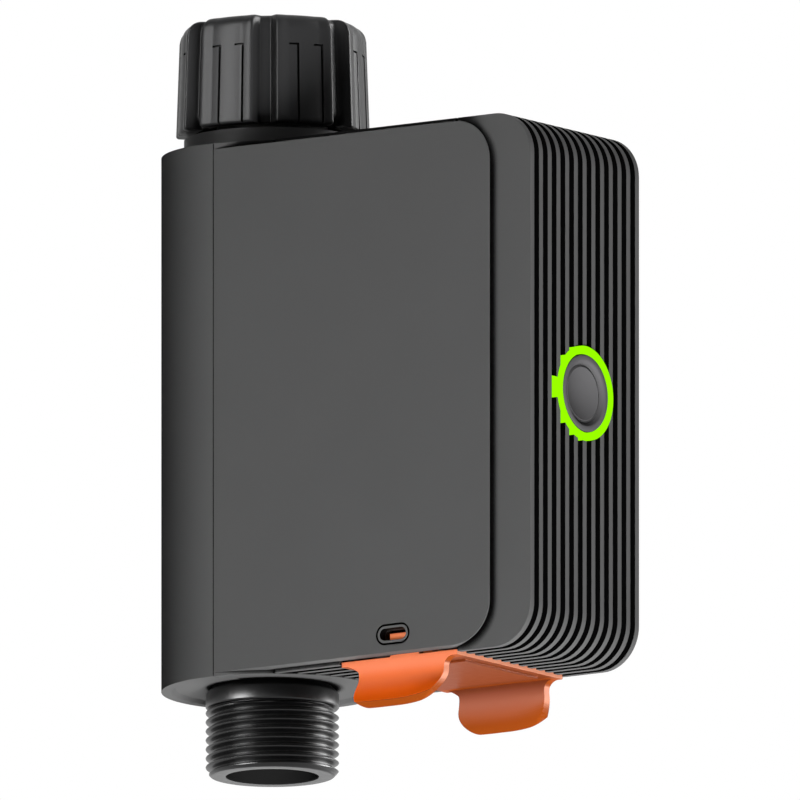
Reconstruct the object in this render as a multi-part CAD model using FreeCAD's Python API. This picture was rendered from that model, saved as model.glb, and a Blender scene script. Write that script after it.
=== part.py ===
import FreeCAD, Part
import math
import os

# Smart irrigation timer, millimetres.
# The origin is the mouth of the inlet nut, on the water axis, and +Z is up.
# The ribbed front faces -Y. Places from back to front are written as "front"
# distances f, measured forwards from the water axis, so that y = -f.

# Overall sizes of the casing
NUT_HEIGHT = 21.9
NECK_SHOW = 4.5
BODY_HEIGHT = 107.1
OUTLET_DROP = 17.0
CHEEK_THICK = 3.25
REAR_SEAM_F = 1.0
REAR_SEAM_WIDTH = 0.2
REAR_SEAM_DEPTH = 0.4
SEAM_F = 57.6
FRONT_F = 75.5
WALL = 2.0
SIDE_WALL = 2.2

# Cheeks
CHEEK_F = 67.8
CHEEK_INSET_TOP = 1.2
CHEEK_INSET_BOTTOM = 0.7
CHEEK_ROUND = 8.5
CHEEK_LIP = 0.25
CHEEK_LEAD_IN = 3.2

# Ribs on the front, top and underside
RIB_COUNT = 13
RIB_WIDTH = 1.35
RIB_DEPTH = 1.6
FRONT_ROUND = 8.5
RIB_CLEARING = 0.5

# Round end plates with a shallow dished recess
RECESS_RIM = 2.0
RECESS_DEPTH = 0.8

# Indicator windows in the cheeks
WINDOW_F = 44.5
WINDOW_RISE = 4.3
WINDOW_LENGTH = 6.3
WINDOW_HEIGHT = 2.4
BEZEL_RIM = 0.5
BEZEL_GAP = 0.4
BEZEL_DEPTH = 1.8
BEZEL_GAP_DEPTH = 1.2

# Clearances
SLIDE_GAP = 0.3
SIDE_GAP = 0.15
FIT_GAP = 0.1
TURN_GAP = 0.05
PIN_GAP = 0.02
SEAT_GAP = 0.2

# Inlet neck and nut
BOSS_RADIUS = 17.5
BOSS_SHOW = 3.5
STUB_RADIUS = 9.8
SHOULDER_RADIUS = 11.0
SHOULDER_RISE = 5.4
STUB_END = 1.2
STUB_CHAMFER = 0.5
BORE_RADIUS = 7.5
NUT_RADIUS = 19.3
NUT_TAPER = 0.8
NUT_TOP_ROUND = 3.0
NUT_LOBES = 7
NUT_GROOVE_DEPTH = 2.2
NUT_GROOVE_WIDTH = 3.4
NUT_GROOVE_TURN = 210.2
NUT_PAD_HOLLOW = 0.55
NUT_RIDGE_ANGLE = 2.0
NUT_SLOPE_ANGLE = 4.0
NUT_STRIP_WIDTH = 1.7
NUT_STRIP_DEPTH = 0.35
NUT_STRIP_ANGLE = 7.9
NUT_STRIP_TOP = 6.0
NUT_NOTCH_HEIGHT = 1.2
NUT_NOTCH_DEPTH = 3.4
NUT_LIP = 3.2
NUT_RECESS_RADIUS = 15.5
NUT_THREAD_RADIUS = 12.1
NUT_UNDERCUT = 0.3
RING_RADIUS = 11.6
RING_HEIGHT = 1.2
RING_GROOVE = 0.6
RING_OPENING = 5.0
WASHER_HEIGHT = 2.2
WASHER_RADIUS = 11.8
WASHER_HOLE = 7.2
FILTER_FLANGE = 0.8
FILTER_RADIUS = 6.9
FILTER_LENGTH = 10.0
FILTER_WALL = 0.8
FILTER_SLOTS = 12
FILTER_RIM = 1.5
FILTER_SLOT_WIDTH = 1.4

# Outlet spout
THREAD_RADIUS = 13.22
THREAD_LENGTH = 13.2
COLLAR_LENGTH = 3.2
NECK_RADIUS = 11.9
OUTLET_HOLE_RADIUS = 8.9
SPOUT_SLEEVE_RADIUS = 10.0
SPOUT_NARROW_RISE = 24.0
SPOUT_EDGE = 1.0
SEAL_WIDTH = 1.8
SPOUT_GROOVE_RISE = 3.0
SPOUT_GROOVE_DEPTH = 1.0

# Ball valve
BALL_RISE = 29.0
BALL_RADIUS = 9.0
BALL_BORE_RADIUS = 6.0
SEAT_BORE_RADIUS = 6.2
SEAT_OUT = 9.6
SEAT_LIP = 1.2
VALVE_RADIUS = 13.4
PIPE_RADIUS = 10.0
PIPE_LOW_BORE = 6.6
STEM_RADIUS = 3.0
STEM_TANG_WIDTH = 2.8
STEM_TANG_DEPTH = 2.0
PAD_HALF_WIDTH = 11.8
HIGH_PAD_HEIGHT = 6.0
STEM_RING_DEPTH = 0.7
STEM_RING_WIDTH = 1.0
STEM_RING_OFFSETS = (1.4, 3.0)

# Valve drive, from back to front
CASE_F = 13.8
CASE_WALL = 1.2
GEAR_MODULE = 0.8
PRESSURE_ANGLE = 25.0
TOOTH_BACKLASH = 0.16
OUTPUT_TEETH = 26
WHEEL_TEETH = 22
PINION_TEETH = 10
LAYER_GAP = 0.4
WHEEL_THICK = 1.8
OUTPUT_THICK = 2.8
CASE_HALF_WIDTH = 12.8
CASE_ROUND = 5.0
AXLE_RADIUS = 1.0
MOTOR_RADIUS = 6.0
MOTOR_LENGTH = 10.6
MOTOR_SHAFT_RADIUS = 0.75
SCREW_RADIUS = 0.9
SCREW_HEAD_RADIUS = 1.7
SCREW_HEAD = 1.2
CASE_SCREW_X = 9.8
CASE_SCREW_INSET = 2.8
CASE_SCREW_TIP_F = 9.0
OUTPUT_HUB_WALL = 1.5
MOTOR_COLLAR = 4.0
MOTOR_EDGE = 0.6
MOTOR_TAG_X = 2.0
MOTOR_TAG_WIDTH = 1.6
MOTOR_TAG_THICK = 0.4

# Flow meter
TURBINE_RISE = 83.0
TURBINE_HEIGHT = 8.0
TURBINE_RADIUS = 6.6
TURBINE_HUB = 2.0
TURBINE_BLADES = 6
BLADE_THICK = 0.8
BLADE_PITCH = 35.0
TURBINE_AXLE_RADIUS = 0.6
CARRIER_HEIGHT = 7.5
CARRIER_WALL = 0.5
CARRIER_SPOKE = 1.2
CARRIER_SPOKES = 3
CARRIER_HUB_RADIUS = 1.6
SENSOR_BOARD = 1.2
SENSOR_PAD_PROUD = 1.5
SENSOR_MARGIN = 0.5
SENSOR_HALF_WIDTH = 4.5
SENSOR_HALF_HEIGHT = 7.0
SENSOR_CHIP = (4.0, 1.2, 3.0)
SENSOR_PLUG = (6.0, 3.0, 3.0)
SENSOR_PLUG_RISE = 4.5

# Bulkhead and module
BULKHEAD_F = 29.0
MODULE_BACK_GAP = 0.6
MODULE_BACK_THICK = 1.8
COLLAR_F = 50.0
PLUG_RISE = 9.5
RUNNER_X = 10.0
RUNNER_HALF_WIDTH = 2.0
INNER_SIDE_WALL = 2.15
MODULE_SEAL_DEPTH = 1.0
MODULE_SEAL_F = 53.0
POST_RADIUS = 2.0
POST_LENGTH = 10.0
UPPER_POST_X = 13.9
UPPER_POST_DROP = 10.0
MODULE_SCREW_LENGTH = 8.0
BOARD_POST_INSET = 3.0
BOARD_GAP_LOW = 2.4
BOARD_GAP_HIGH = 4.2
CONTACT_DROP = 23.0
CONTACT_HALF_WIDTH = 8.0
CONTACT_HALF_HEIGHT = 4.0
CONTACT_RADIUS = 0.8
CONTACT_PITCH = 4.0
CONTACT_COLLAR = 0.4
CONTACT_COLLAR_LENGTH = 2.0
CONTACT_FLANGE = 1.5
CONTACT_TAIL = 2.5

# Release latch
LATCH_F0 = 29.5
LATCH_SINK = 0.5
LATCH_PLATE = 1.0
LATCH_TRAVEL = 2.4
LATCH_SIDE_GAP = 0.55
WING_THICK = 1.8
WING_SETBACK = 3.2
WING_STRAIGHT = 3.5
WING_FLARE_RADIUS = 7.5
WING_FLARE_ANGLE = 45.0
WING_FILLET = 2.2
WING_REAR_CORNER = 4.5
WING_FRONT_CORNER = 5.5
TAB_F0 = 41.2
TAB_F1 = 48.2
TAB_THICK = 1.5
TAB_RISE = 4.6
PRONG_F0 = 43.5
PRONG_F1 = 46.5
PRONG_HALF_WIDTH = 1.2
LATCH_POST_X = 4.0
LATCH_POST_RADIUS = 2.0
LATCH_HEAD_RADIUS = 2.8
LATCH_HEAD_HEIGHT = 1.2
LATCH_PAD_HALF_WIDTH = 12.5
LATCH_PAD_THICK = 0.5
LATCH_PAD_INSET = 2.0

# Button, light ring and board
BUTTON_RISE = 52.65
BUTTON_RADIUS = 7.8
BUTTON_GAP = 0.15
BUTTON_TRAVEL = 0.6
BUTTON_FLANGE = 0.8
BUTTON_DISH = 0.9
BUTTON_PROUD = 0.3
RING_OUTER_RADIUS = 9.45
RING_PROUD = 0.3
RING_LIFT = 1.0
RING_FLANGE = 1.6
RING_FLANGE_THICK = 1.5
BUTTON_RIM = 1.2
BUTTON_SLOPE = 1.4
BUTTON_BOWL = 0.4
BUTTON_EDGE = 0.3
BUTTON_FOOT_RADIUS = 2.4
BOARD_BACK = 10.1
BOARD_THICK = 1.6
BOARD_HALF_WIDTH = 15.5
BOARD_POST_X = 12.5
SWITCH_HALF = 3.0
SWITCH_HEIGHT = 3.2
PLUNGER_RADIUS = 1.7
SWITCH_FLOOR = 0.6
LED_SIZE = 2.0
LED_HEIGHT = 0.7
BOARD_CHIPS = (((6.0, 1.2, 6.0), -6.0, -25.0), ((5.0, 1.6, 10.0), 5.5, -25.0))
RADIO_RISE = 30.0
RADIO_BASE = (14.0, 0.8, 16.0)
RADIO_CAN = (12.0, 1.8, 9.0)
RADIO_CAN_DROP = 2.5

# Batteries
CELL_RADIUS = 7.25
CELL_LENGTH = 49.5
CELL_NUB = 1.0
CELL_NUB_RADIUS = 2.7
CELL_SPREAD = 7.6
CELL_GAP = 0.15
CELL_ROW_GAP = 0.5
HOLDER_END = 1.8
HOLDER_WALL = 1.3
HOLDER_SIDE_GAP = 0.45
HOLDER_BACK = 0.8
HOLDER_GAP = 0.4
HOLDER_LIP = 3.0
SPRING_PLATE = 1.0
SPRING_HEIGHT = 2.4
SPRING_RADIUS = 3.4
CONTACT_PLATE = 0.5

# Heights that follow from these sizes
BODY_TOP = -(NUT_HEIGHT + NECK_SHOW)
BODY_BOTTOM = BODY_TOP - BODY_HEIGHT
OUTLET_END = BODY_BOTTOM - OUTLET_DROP
LATCH_TOP = BODY_BOTTOM + LATCH_SINK
RECESS_ROOF = LATCH_TOP + LATCH_TRAVEL + SEAT_GAP
FLOOR = RECESS_ROOF + WALL
CEILING = BODY_TOP - RIB_DEPTH - WALL
BOSS_TOP = BODY_TOP + BOSS_SHOW
NUT_LIP_LOW = BOSS_TOP + SHOULDER_RISE + FIT_GAP
NUT_LIP_HIGH = NUT_LIP_LOW + NUT_LIP
STUB_TOP = NUT_LIP_HIGH + SEAT_GAP + RING_HEIGHT + FIT_GAP + STUB_END
WASHER_BOTTOM = STUB_TOP + FILTER_FLANGE
WASHER_TOP = WASHER_BOTTOM + WASHER_HEIGHT
BALL_Z = BODY_BOTTOM + BALL_RISE
SEAT_FAR = SEAT_OUT + FIT_GAP
TURBINE_Z = BODY_BOTTOM + TURBINE_RISE
BUTTON_Z = BODY_BOTTOM + BUTTON_RISE
LAY_Z = BALL_Z + GEAR_MODULE * (OUTPUT_TEETH + PINION_TEETH) / 2
MOTOR_Z = LAY_Z + GEAR_MODULE * (WHEEL_TEETH + PINION_TEETH) / 2
CASE_BOTTOM = BALL_Z - CASE_HALF_WIDTH
CASE_TOP = MOTOR_Z + MOTOR_RADIUS + CASE_WALL + LAYER_GAP

# Places from back to front that follow from these sizes
WHEEL_F = CASE_F + CASE_WALL + LAYER_GAP
OUTPUT_F = WHEEL_F + WHEEL_THICK + LAYER_GAP
COVER_F = OUTPUT_F + OUTPUT_THICK + LAYER_GAP
SENSOR_F = PIPE_RADIUS + SENSOR_PAD_PROUD
MOTOR_F = BULKHEAD_F - SEAT_GAP - MOTOR_LENGTH
BAY_F = BULKHEAD_F + WALL
MODULE_BACK_F = BAY_F + MODULE_BACK_GAP
PLUG_F = MODULE_BACK_F + MODULE_BACK_THICK
MODULE_F = SEAM_F + SLIDE_GAP
INNER_FRONT_F = FRONT_F - RIB_DEPTH - WALL + FIT_GAP
BOARD_F = FRONT_F - BOARD_BACK
BOARD_FACE_F = BOARD_F + BOARD_THICK
LATCH_F1 = SEAM_F - SEAT_GAP

# Widths that follow from two cells side by side
CORE_HALF_WIDTH = CELL_SPREAD + CELL_RADIUS + HOLDER_WALL + HOLDER_SIDE_GAP + INNER_SIDE_WALL
BACK_RADIUS = CORE_HALF_WIDTH + CHEEK_THICK
RIB_CLEAR_RADIUS = BACK_RADIUS + RIB_CLEARING
RECESS_RADIUS = BACK_RADIUS - RECESS_RIM
LATCH_HALF_WIDTH = CORE_HALF_WIDTH - LATCH_SIDE_GAP
PLUG_HALF_WIDTH = CORE_HALF_WIDTH + SIDE_GAP - SLIDE_GAP
BAY_HALF_WIDTH = CORE_HALF_WIDTH + SIDE_GAP
INNER_HALF_WIDTH = CORE_HALF_WIDTH - INNER_SIDE_WALL
PLUG_BOTTOM = BODY_BOTTOM + PLUG_RISE
PLUG_TOP = CEILING - SLIDE_GAP
RUNNER_BOTTOM = FLOOR + SLIDE_GAP
BOARD_LOW = BODY_BOTTOM + RIB_DEPTH + WALL + BOARD_GAP_LOW
BOARD_HIGH = PLUG_TOP - BOARD_GAP_HIGH
BEYOND = 1.0


def vec(x, f, z):
    return FreeCAD.Vector(x, -f, z)


def block(x0, x1, f0, f1, z0, z1):
    """Box between two widths, two front distances and two heights."""
    return Part.makeBox(x1 - x0, f1 - f0, z1 - z0, vec(x0, f1, z0))


def on_board(size, face, x, z):
    """Component of (width, thickness, height), centred at x and z on the face of a board."""
    width, thick, height = size
    return block(x - width / 2, x + width / 2, face, face + thick, z - height / 2, z + height / 2)


def upright(radius, z0, z1, x=0.0, f=0.0):
    """Cylinder with an upright axis."""
    return Part.makeCylinder(radius, z1 - z0, vec(x, f, z0))


def tube(outer, inner, z0, z1):
    return upright(outer, z0, z1).cut(upright(inner, z0 - BEYOND, z1 + BEYOND))


def rod(radius, f0, f1, x, z):
    """Cylinder that runs from back to front."""
    return Part.makeCylinder(radius, f1 - f0, vec(x, f0, z), FreeCAD.Vector(0, -1, 0))


def lying_tube(outer, inner, f0, f1, x, z):
    return rod(outer, f0, f1, x, z).cut(rod(inner, f0 - BEYOND, f1 + BEYOND, x, z))


def turned(points):
    """Solid of revolution about the water axis from (radius, height) points."""
    corners = [FreeCAD.Vector(r, 0, z) for r, z in points]
    face = Part.Face(Part.makePolygon(corners + corners[:1]))
    return face.revolve(FreeCAD.Vector(), FreeCAD.Vector(0, 0, 1), 360)


def turned_lying(wire_points, z):
    """Solid of revolution about a front-to-back axis from (radius, front) points."""
    corners = [vec(r, f, z) for r, f in wire_points]
    face = Part.Face(Part.makePolygon(corners + corners[:1]))
    return face.revolve(vec(0, 0, z), FreeCAD.Vector(0, 1, 0), 360)


def along(edge, axis):
    """True for a straight edge that runs along one axis of the frame."""
    if not isinstance(edge.Curve, (Part.Line, Part.LineSegment)):
        return False
    run = edge.valueAt(edge.LastParameter) - edge.valueAt(edge.FirstParameter)
    return abs(getattr(run, axis)) > 0.999 * run.Length


def fillet_where(solid, radius, axis, test):
    edges = [e for e in solid.Edges if along(e, axis) and test(e.CenterOfMass)]
    return solid.makeFillet(radius, edges)


def rounded_side(x0, x1, f0, f1, z0, z1, radius):
    """Plate whose two front corners are round in the side view."""
    plate = block(x0, x1, f0, f1, z0, z1)
    return fillet_where(plate, radius, "x", lambda c: abs(c.y + f1) < 1e-6)


def pill(x0, x1, length, height, f, z):
    """Long round-ended plug through the thickness x0 to x1."""
    half = (length - height) / 2
    radius = height / 2
    across = FreeCAD.Vector(1, 0, 0)
    ends = [Part.makeCylinder(radius, x1 - x0, vec(x0, f + s * half, z), across) for s in (-1, 1)]
    return block(x0, x1, f - half, f + half, z - radius, z + radius).fuse(ends).removeSplitter()


def mirrored(solid):
    return solid.mirror(FreeCAD.Vector(), FreeCAD.Vector(1, 0, 0))


def both_sides(solid):
    return [solid, mirrored(solid)]


def group(solids):
    return Part.makeCompound(solids)


def save(name, shape):
    shape.exportStep("parts/" + name + ".step")


# Casing

def rib_places():
    pitch = (2 * CORE_HALF_WIDTH - RIB_WIDTH) / (RIB_COUNT - 1)
    return [-CORE_HALF_WIDTH + RIB_WIDTH / 2 + i * pitch for i in range(RIB_COUNT)]


def casing_rib(x):
    """Rib whose round rear end starts just clear of the round end plates."""
    half = RIB_WIDTH / 2
    start = math.sqrt(RIB_CLEAR_RADIUS ** 2 - x ** 2) + half
    rear_end = upright(half, BODY_BOTTOM, BODY_TOP, x, start)
    return block(x - half, x + half, start, SEAM_F, BODY_BOTTOM, BODY_TOP).fuse(rear_end)


def ribbed_core():
    """Part of the casing between its two seams, with ribs over and under it."""
    core = block(-CORE_HALF_WIDTH, CORE_HALF_WIDTH, REAR_SEAM_F, SEAM_F,
                 BODY_BOTTOM + RIB_DEPTH, BODY_TOP - RIB_DEPTH)
    return core.fuse([casing_rib(x) for x in rib_places()])


def cheek_plate(x0, x1, front):
    return rounded_side(x0, x1, REAR_SEAM_F, front,
                        BODY_BOTTOM + CHEEK_INSET_BOTTOM, BODY_TOP - CHEEK_INSET_TOP, CHEEK_ROUND)


def side_wire(plate, x):
    """Outline of the face of a plate that lies at the width x."""
    return [face.OuterWire for face in plate.Faces if abs(face.CenterOfMass.x - x) < 1e-6][0]


def cheek():
    """Side plate that reaches past the module's seam, its front end sloped back as a lead-in."""
    lip_x = BACK_RADIUS - CHEEK_LIP
    lip = cheek_plate(lip_x, BACK_RADIUS, CHEEK_F)
    inner = cheek_plate(CORE_HALF_WIDTH, BACK_RADIUS, CHEEK_F - CHEEK_LEAD_IN)
    sloped = Part.makeLoft([side_wire(inner, CORE_HALF_WIDTH), side_wire(lip, lip_x)], True, True)
    return sloped.fuse(lip).removeSplitter()


def end_discs():
    """Fronts of the two round end plates, level with the crests of the ribs."""
    rear = block(-BACK_RADIUS, BACK_RADIUS, -BACK_RADIUS, REAR_SEAM_F,
                 BODY_BOTTOM - BEYOND, BODY_TOP + BEYOND)
    low = upright(BACK_RADIUS, BODY_BOTTOM, FLOOR)
    high = upright(BACK_RADIUS, CEILING, BODY_TOP)
    return [low.cut(rear), high.cut(rear)]


def seam_groove():
    """Fine groove round the casing where the rear cover meets it."""
    f0, f1 = REAR_SEAM_F - BEYOND, REAR_SEAM_F + REAR_SEAM_WIDTH
    low, high = BODY_BOTTOM + REAR_SEAM_DEPTH, BODY_TOP - REAR_SEAM_DEPTH
    half = BACK_RADIUS - REAR_SEAM_DEPTH
    wide = BACK_RADIUS + BEYOND
    outer = block(-wide, wide, f0, f1, BODY_BOTTOM - BEYOND, BODY_TOP + BEYOND)
    return outer.cut(block(-half, half, f0 - BEYOND, f1 + BEYOND, low, high))


def end_recess(level, inward):
    """Shallow round recess with a sloped edge, cut into an end plate."""
    outside = level - inward * RECESS_DEPTH
    inside = level + inward * RECESS_DEPTH
    return turned([(0, outside), (RECESS_RADIUS + RECESS_DEPTH, outside),
                   (RECESS_RADIUS - RECESS_DEPTH, inside), (0, inside)])


def end_recesses():
    return [end_recess(BODY_BOTTOM, 1), end_recess(BODY_TOP, -1)]


def water_holes():
    spout = upright(NECK_RADIUS + SEAT_GAP, BODY_BOTTOM - BEYOND, FLOOR + BEYOND)
    boss = upright(BOSS_RADIUS + SIDE_GAP, CEILING - BEYOND, BODY_TOP + BEYOND)
    return [spout, boss]


def latch_cuts():
    """Recess for the latch plate, and the slots and holes above it."""
    recess = block(-CORE_HALF_WIDTH, CORE_HALF_WIDTH, LATCH_F0 - SLIDE_GAP, SEAM_F + BEYOND,
                   BODY_BOTTOM - BEYOND, RECESS_ROOF)
    low, high = RECESS_ROOF - BEYOND, FLOOR + BEYOND
    tab = block(LATCH_HALF_WIDTH - TAB_THICK - SLIDE_GAP, CORE_HALF_WIDTH,
                TAB_F0 - SLIDE_GAP, TAB_F1 + SLIDE_GAP, low, high)
    reach = PRONG_HALF_WIDTH + SLIDE_GAP
    prong = block(RUNNER_X - reach, RUNNER_X + reach, PRONG_F0 - SLIDE_GAP, PRONG_F1 + SLIDE_GAP, low, high)
    post = upright(LATCH_POST_RADIUS + SLIDE_GAP, low, high, LATCH_POST_X, WINDOW_F)
    return [recess] + both_sides(tab) + both_sides(prong) + both_sides(post)


def window_cuts():
    z = BODY_BOTTOM + WINDOW_RISE
    rim = 2 * BEZEL_RIM
    gap = 2 * BEZEL_GAP
    through = pill(CORE_HALF_WIDTH - BEYOND, BACK_RADIUS + BEYOND, WINDOW_LENGTH, WINDOW_HEIGHT, WINDOW_F, z)
    seat = pill(BACK_RADIUS - BEZEL_DEPTH, BACK_RADIUS + BEYOND,
                WINDOW_LENGTH + rim, WINDOW_HEIGHT + rim, WINDOW_F, z)
    moat = pill(BACK_RADIUS - BEZEL_GAP_DEPTH, BACK_RADIUS + BEYOND,
                WINDOW_LENGTH + rim + gap, WINDOW_HEIGHT + rim + gap, WINDOW_F, z)
    return both_sides(through) + both_sides(seat) + both_sides(moat)


def seal_strip(gap):
    """Upright rubber strip in the rear rim of the casing."""
    middle = BACK_RADIUS - SIDE_WALL / 2
    half = SIDE_WALL / 5 + gap
    return block(middle - half, middle + half, REAR_SEAM_F, REAR_SEAM_F + 1.0 + gap,
                 FLOOR - gap, CEILING + gap)


def housing_body():
    body = ribbed_core().fuse(both_sides(cheek()) + end_discs())
    chamber = block(-BACK_RADIUS + SIDE_WALL, BACK_RADIUS - SIDE_WALL, 0, BULKHEAD_F, FLOOR, CEILING)
    bay = block(-BAY_HALF_WIDTH, BAY_HALF_WIDTH, BAY_F, SEAM_F + BEYOND, FLOOR, CEILING)
    between = block(-BAY_HALF_WIDTH, BAY_HALF_WIDTH, SEAM_F, CHEEK_F + BEYOND,
                    BODY_BOTTOM - BEYOND, BODY_TOP + BEYOND)
    cuts = [chamber, bay, between, contact_window(), seam_groove()] + end_recesses() + water_holes()
    cuts += latch_cuts() + window_cuts() + both_sides(seal_strip(TURN_GAP))
    return body.cut(cuts).removeSplitter()


def rear_cover():
    """Half-round back with end plates, closed round the two water connections."""
    outer = upright(BACK_RADIUS, BODY_BOTTOM, BODY_TOP)
    skirt = block(-BACK_RADIUS, BACK_RADIUS, 0, REAR_SEAM_F, BODY_BOTTOM, BODY_TOP)
    front = block(-BACK_RADIUS, BACK_RADIUS, REAR_SEAM_F, BACK_RADIUS + BEYOND,
                  BODY_BOTTOM - BEYOND, BODY_TOP + BEYOND)
    inner_radius = BACK_RADIUS - SIDE_WALL
    hollow = upright(inner_radius, FLOOR, CEILING)
    hollow_front = block(-inner_radius, inner_radius, 0, REAR_SEAM_F + BEYOND, FLOOR, CEILING)
    cuts = [front, hollow, hollow_front] + end_recesses() + water_holes()
    return outer.fuse(skirt).cut(cuts).removeSplitter()


def casing_seals():
    return group(both_sides(seal_strip(0.0)))


def window_bezels():
    z = BODY_BOTTOM + WINDOW_RISE
    rim = 2 * BEZEL_RIM
    inner = BACK_RADIUS - BEZEL_DEPTH
    plug = pill(inner, BACK_RADIUS, WINDOW_LENGTH + rim, WINDOW_HEIGHT + rim, WINDOW_F, z)
    hole = pill(inner - BEYOND, BACK_RADIUS + BEYOND, WINDOW_LENGTH, WINDOW_HEIGHT, WINDOW_F, z)
    return group(both_sides(plug.cut(hole)))


# Water path

def spout_neck_z():
    return OUTLET_END + THREAD_LENGTH + COLLAR_LENGTH + THREAD_RADIUS - NECK_RADIUS


def outlet_spout():
    """Threaded hose outlet, its collar, and the sleeve that goes up into the valve."""
    neck_top = FLOOR + SEAT_GAP
    sleeve_top = BALL_Z - SEAT_OUT
    narrow = OUTLET_END + SPOUT_NARROW_RISE
    step = OUTLET_HOLE_RADIUS - SEAT_BORE_RADIUS
    groove_z = neck_top + SPOUT_GROOVE_RISE
    groove_radius = SPOUT_SLEEVE_RADIUS - SPOUT_GROOVE_DEPTH
    return turned([
        (OUTLET_HOLE_RADIUS, OUTLET_END), (THREAD_RADIUS - SPOUT_EDGE, OUTLET_END),
        (THREAD_RADIUS, OUTLET_END + SPOUT_EDGE), (THREAD_RADIUS, OUTLET_END + THREAD_LENGTH + COLLAR_LENGTH),
        (NECK_RADIUS, spout_neck_z()), (NECK_RADIUS, neck_top), (SPOUT_SLEEVE_RADIUS, neck_top),
        (SPOUT_SLEEVE_RADIUS, groove_z), (groove_radius, groove_z),
        (groove_radius, groove_z + SEAL_WIDTH), (SPOUT_SLEEVE_RADIUS, groove_z + SEAL_WIDTH),
        (SPOUT_SLEEVE_RADIUS, sleeve_top), (SEAT_BORE_RADIUS, sleeve_top),
        (SEAT_BORE_RADIUS, narrow + step), (OUTLET_HOLE_RADIUS, narrow)])


def spout_seal():
    z = FLOOR + SEAT_GAP + SPOUT_GROOVE_RISE
    inner = SPOUT_SLEEVE_RADIUS - SPOUT_GROOVE_DEPTH + PIN_GAP
    return tube(SPOUT_SLEEVE_RADIUS + TURN_GAP, inner, z + TURN_GAP, z + SEAL_WIDTH - TURN_GAP)


def stub_profile():
    """Outline of the inlet boss, the shoulder under the nut and the pipe stub."""
    groove_low = NUT_LIP_HIGH + SEAT_GAP
    groove_high = groove_low + RING_HEIGHT + FIT_GAP
    return [(BORE_RADIUS, CEILING + SEAT_GAP), (BOSS_RADIUS, CEILING + SEAT_GAP), (BOSS_RADIUS, BOSS_TOP),
            (SHOULDER_RADIUS, BOSS_TOP), (SHOULDER_RADIUS, BOSS_TOP + SHOULDER_RISE),
            (STUB_RADIUS, BOSS_TOP + SHOULDER_RISE), (STUB_RADIUS, groove_low),
            (STUB_RADIUS - RING_GROOVE, groove_low), (STUB_RADIUS - RING_GROOVE, groove_high),
            (STUB_RADIUS, groove_high), (STUB_RADIUS, STUB_TOP), (BORE_RADIUS, STUB_TOP)]


def valve_body():
    """One moulding: inlet boss and stub, pipe, ball chamber and the pads in front."""
    low_end = FLOOR + 2 * SEAT_GAP + BEYOND / 2
    chamber_top = BALL_Z + SEAT_FAR
    boss = turned(stub_profile())
    pipe = upright(PIPE_RADIUS, chamber_top, CEILING + BEYOND)
    barrel = upright(VALVE_RADIUS, low_end, chamber_top + SIDE_WALL)
    low_pad = block(-PAD_HALF_WIDTH, PAD_HALF_WIDTH, 0, CASE_F, CASE_BOTTOM, BALL_Z + PAD_HALF_WIDTH)
    high_pad = block(-PAD_HALF_WIDTH, PAD_HALF_WIDTH, 0, CASE_F, CASE_TOP - HIGH_PAD_HEIGHT, CASE_TOP)
    half_w, half_h = SENSOR_HALF_WIDTH + SENSOR_MARGIN, SENSOR_HALF_HEIGHT + SENSOR_MARGIN
    sensor_pad = block(-half_w, half_w, 0, SENSOR_F, TURBINE_Z - half_h, TURBINE_Z + half_h)
    body = boss.fuse([pipe, barrel, low_pad, high_pad, sensor_pad])
    ledge = TURBINE_Z - CARRIER_HEIGHT
    cuts = [upright(SPOUT_SLEEVE_RADIUS + FIT_GAP, low_end - BEYOND, chamber_top),
            upright(PIPE_LOW_BORE, chamber_top - BEYOND, ledge + BEYOND),
            upright(BORE_RADIUS, ledge, STUB_TOP + BEYOND),
            rod(STEM_RADIUS + TURN_GAP, 0, CASE_F + BEYOND, 0, BALL_Z)]
    cuts += [rod(SCREW_RADIUS, CASE_SCREW_TIP_F, CASE_F + BEYOND, x, z) for x, z in case_screw_places()]
    return body.cut(cuts).removeSplitter()


def nut_cross_section(radius, z):
    """Seven hollowed pads with ridges, parted by deep grooves."""
    step = 360.0 / NUT_LOBES
    groove_half = math.degrees(NUT_GROOVE_WIDTH / 2 / radius)
    ridge = groove_half + NUT_RIDGE_ANGLE
    hollow = ridge + NUT_SLOPE_ANGLE
    points = []
    for lobe in range(NUT_LOBES):
        centre = NUT_GROOVE_TURN + lobe * step
        points += [(radius - NUT_GROOVE_DEPTH, centre - groove_half * 0.6),
                   (radius - NUT_GROOVE_DEPTH, centre + groove_half * 0.6),
                   (radius, centre + groove_half),
                   (radius, centre + ridge),
                   (radius - NUT_PAD_HOLLOW, centre + hollow)]
        start, end = centre + hollow, centre + step - hollow
        points += [(radius - NUT_PAD_HOLLOW, start + (end - start) * k / 4) for k in range(1, 5)]
        points += [(radius, centre + step - ridge), (radius, centre + step - groove_half)]
    turns = [(r, math.radians(a)) for r, a in points]
    corners = [FreeCAD.Vector(r * math.cos(a), r * math.sin(a), z) for r, a in turns]
    return Part.makePolygon(corners + corners[:1])


def nut_strip(angle, bottom):
    """Cutter for one long shallow strip on a pad."""
    face = NUT_RADIUS - NUT_PAD_HOLLOW - NUT_STRIP_DEPTH
    cutter = Part.makeBox(NUT_GROOVE_DEPTH, NUT_STRIP_WIDTH, NUT_HEIGHT - NUT_STRIP_TOP + BEYOND,
                          FreeCAD.Vector(face, -NUT_STRIP_WIDTH / 2, bottom - BEYOND))
    lean = math.degrees(math.atan2(NUT_TAPER, NUT_HEIGHT))
    cutter.rotate(FreeCAD.Vector(face, 0, bottom), FreeCAD.Vector(0, 1, 0), -lean)
    cutter.rotate(FreeCAD.Vector(), FreeCAD.Vector(0, 0, 1), angle)
    return cutter


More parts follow.
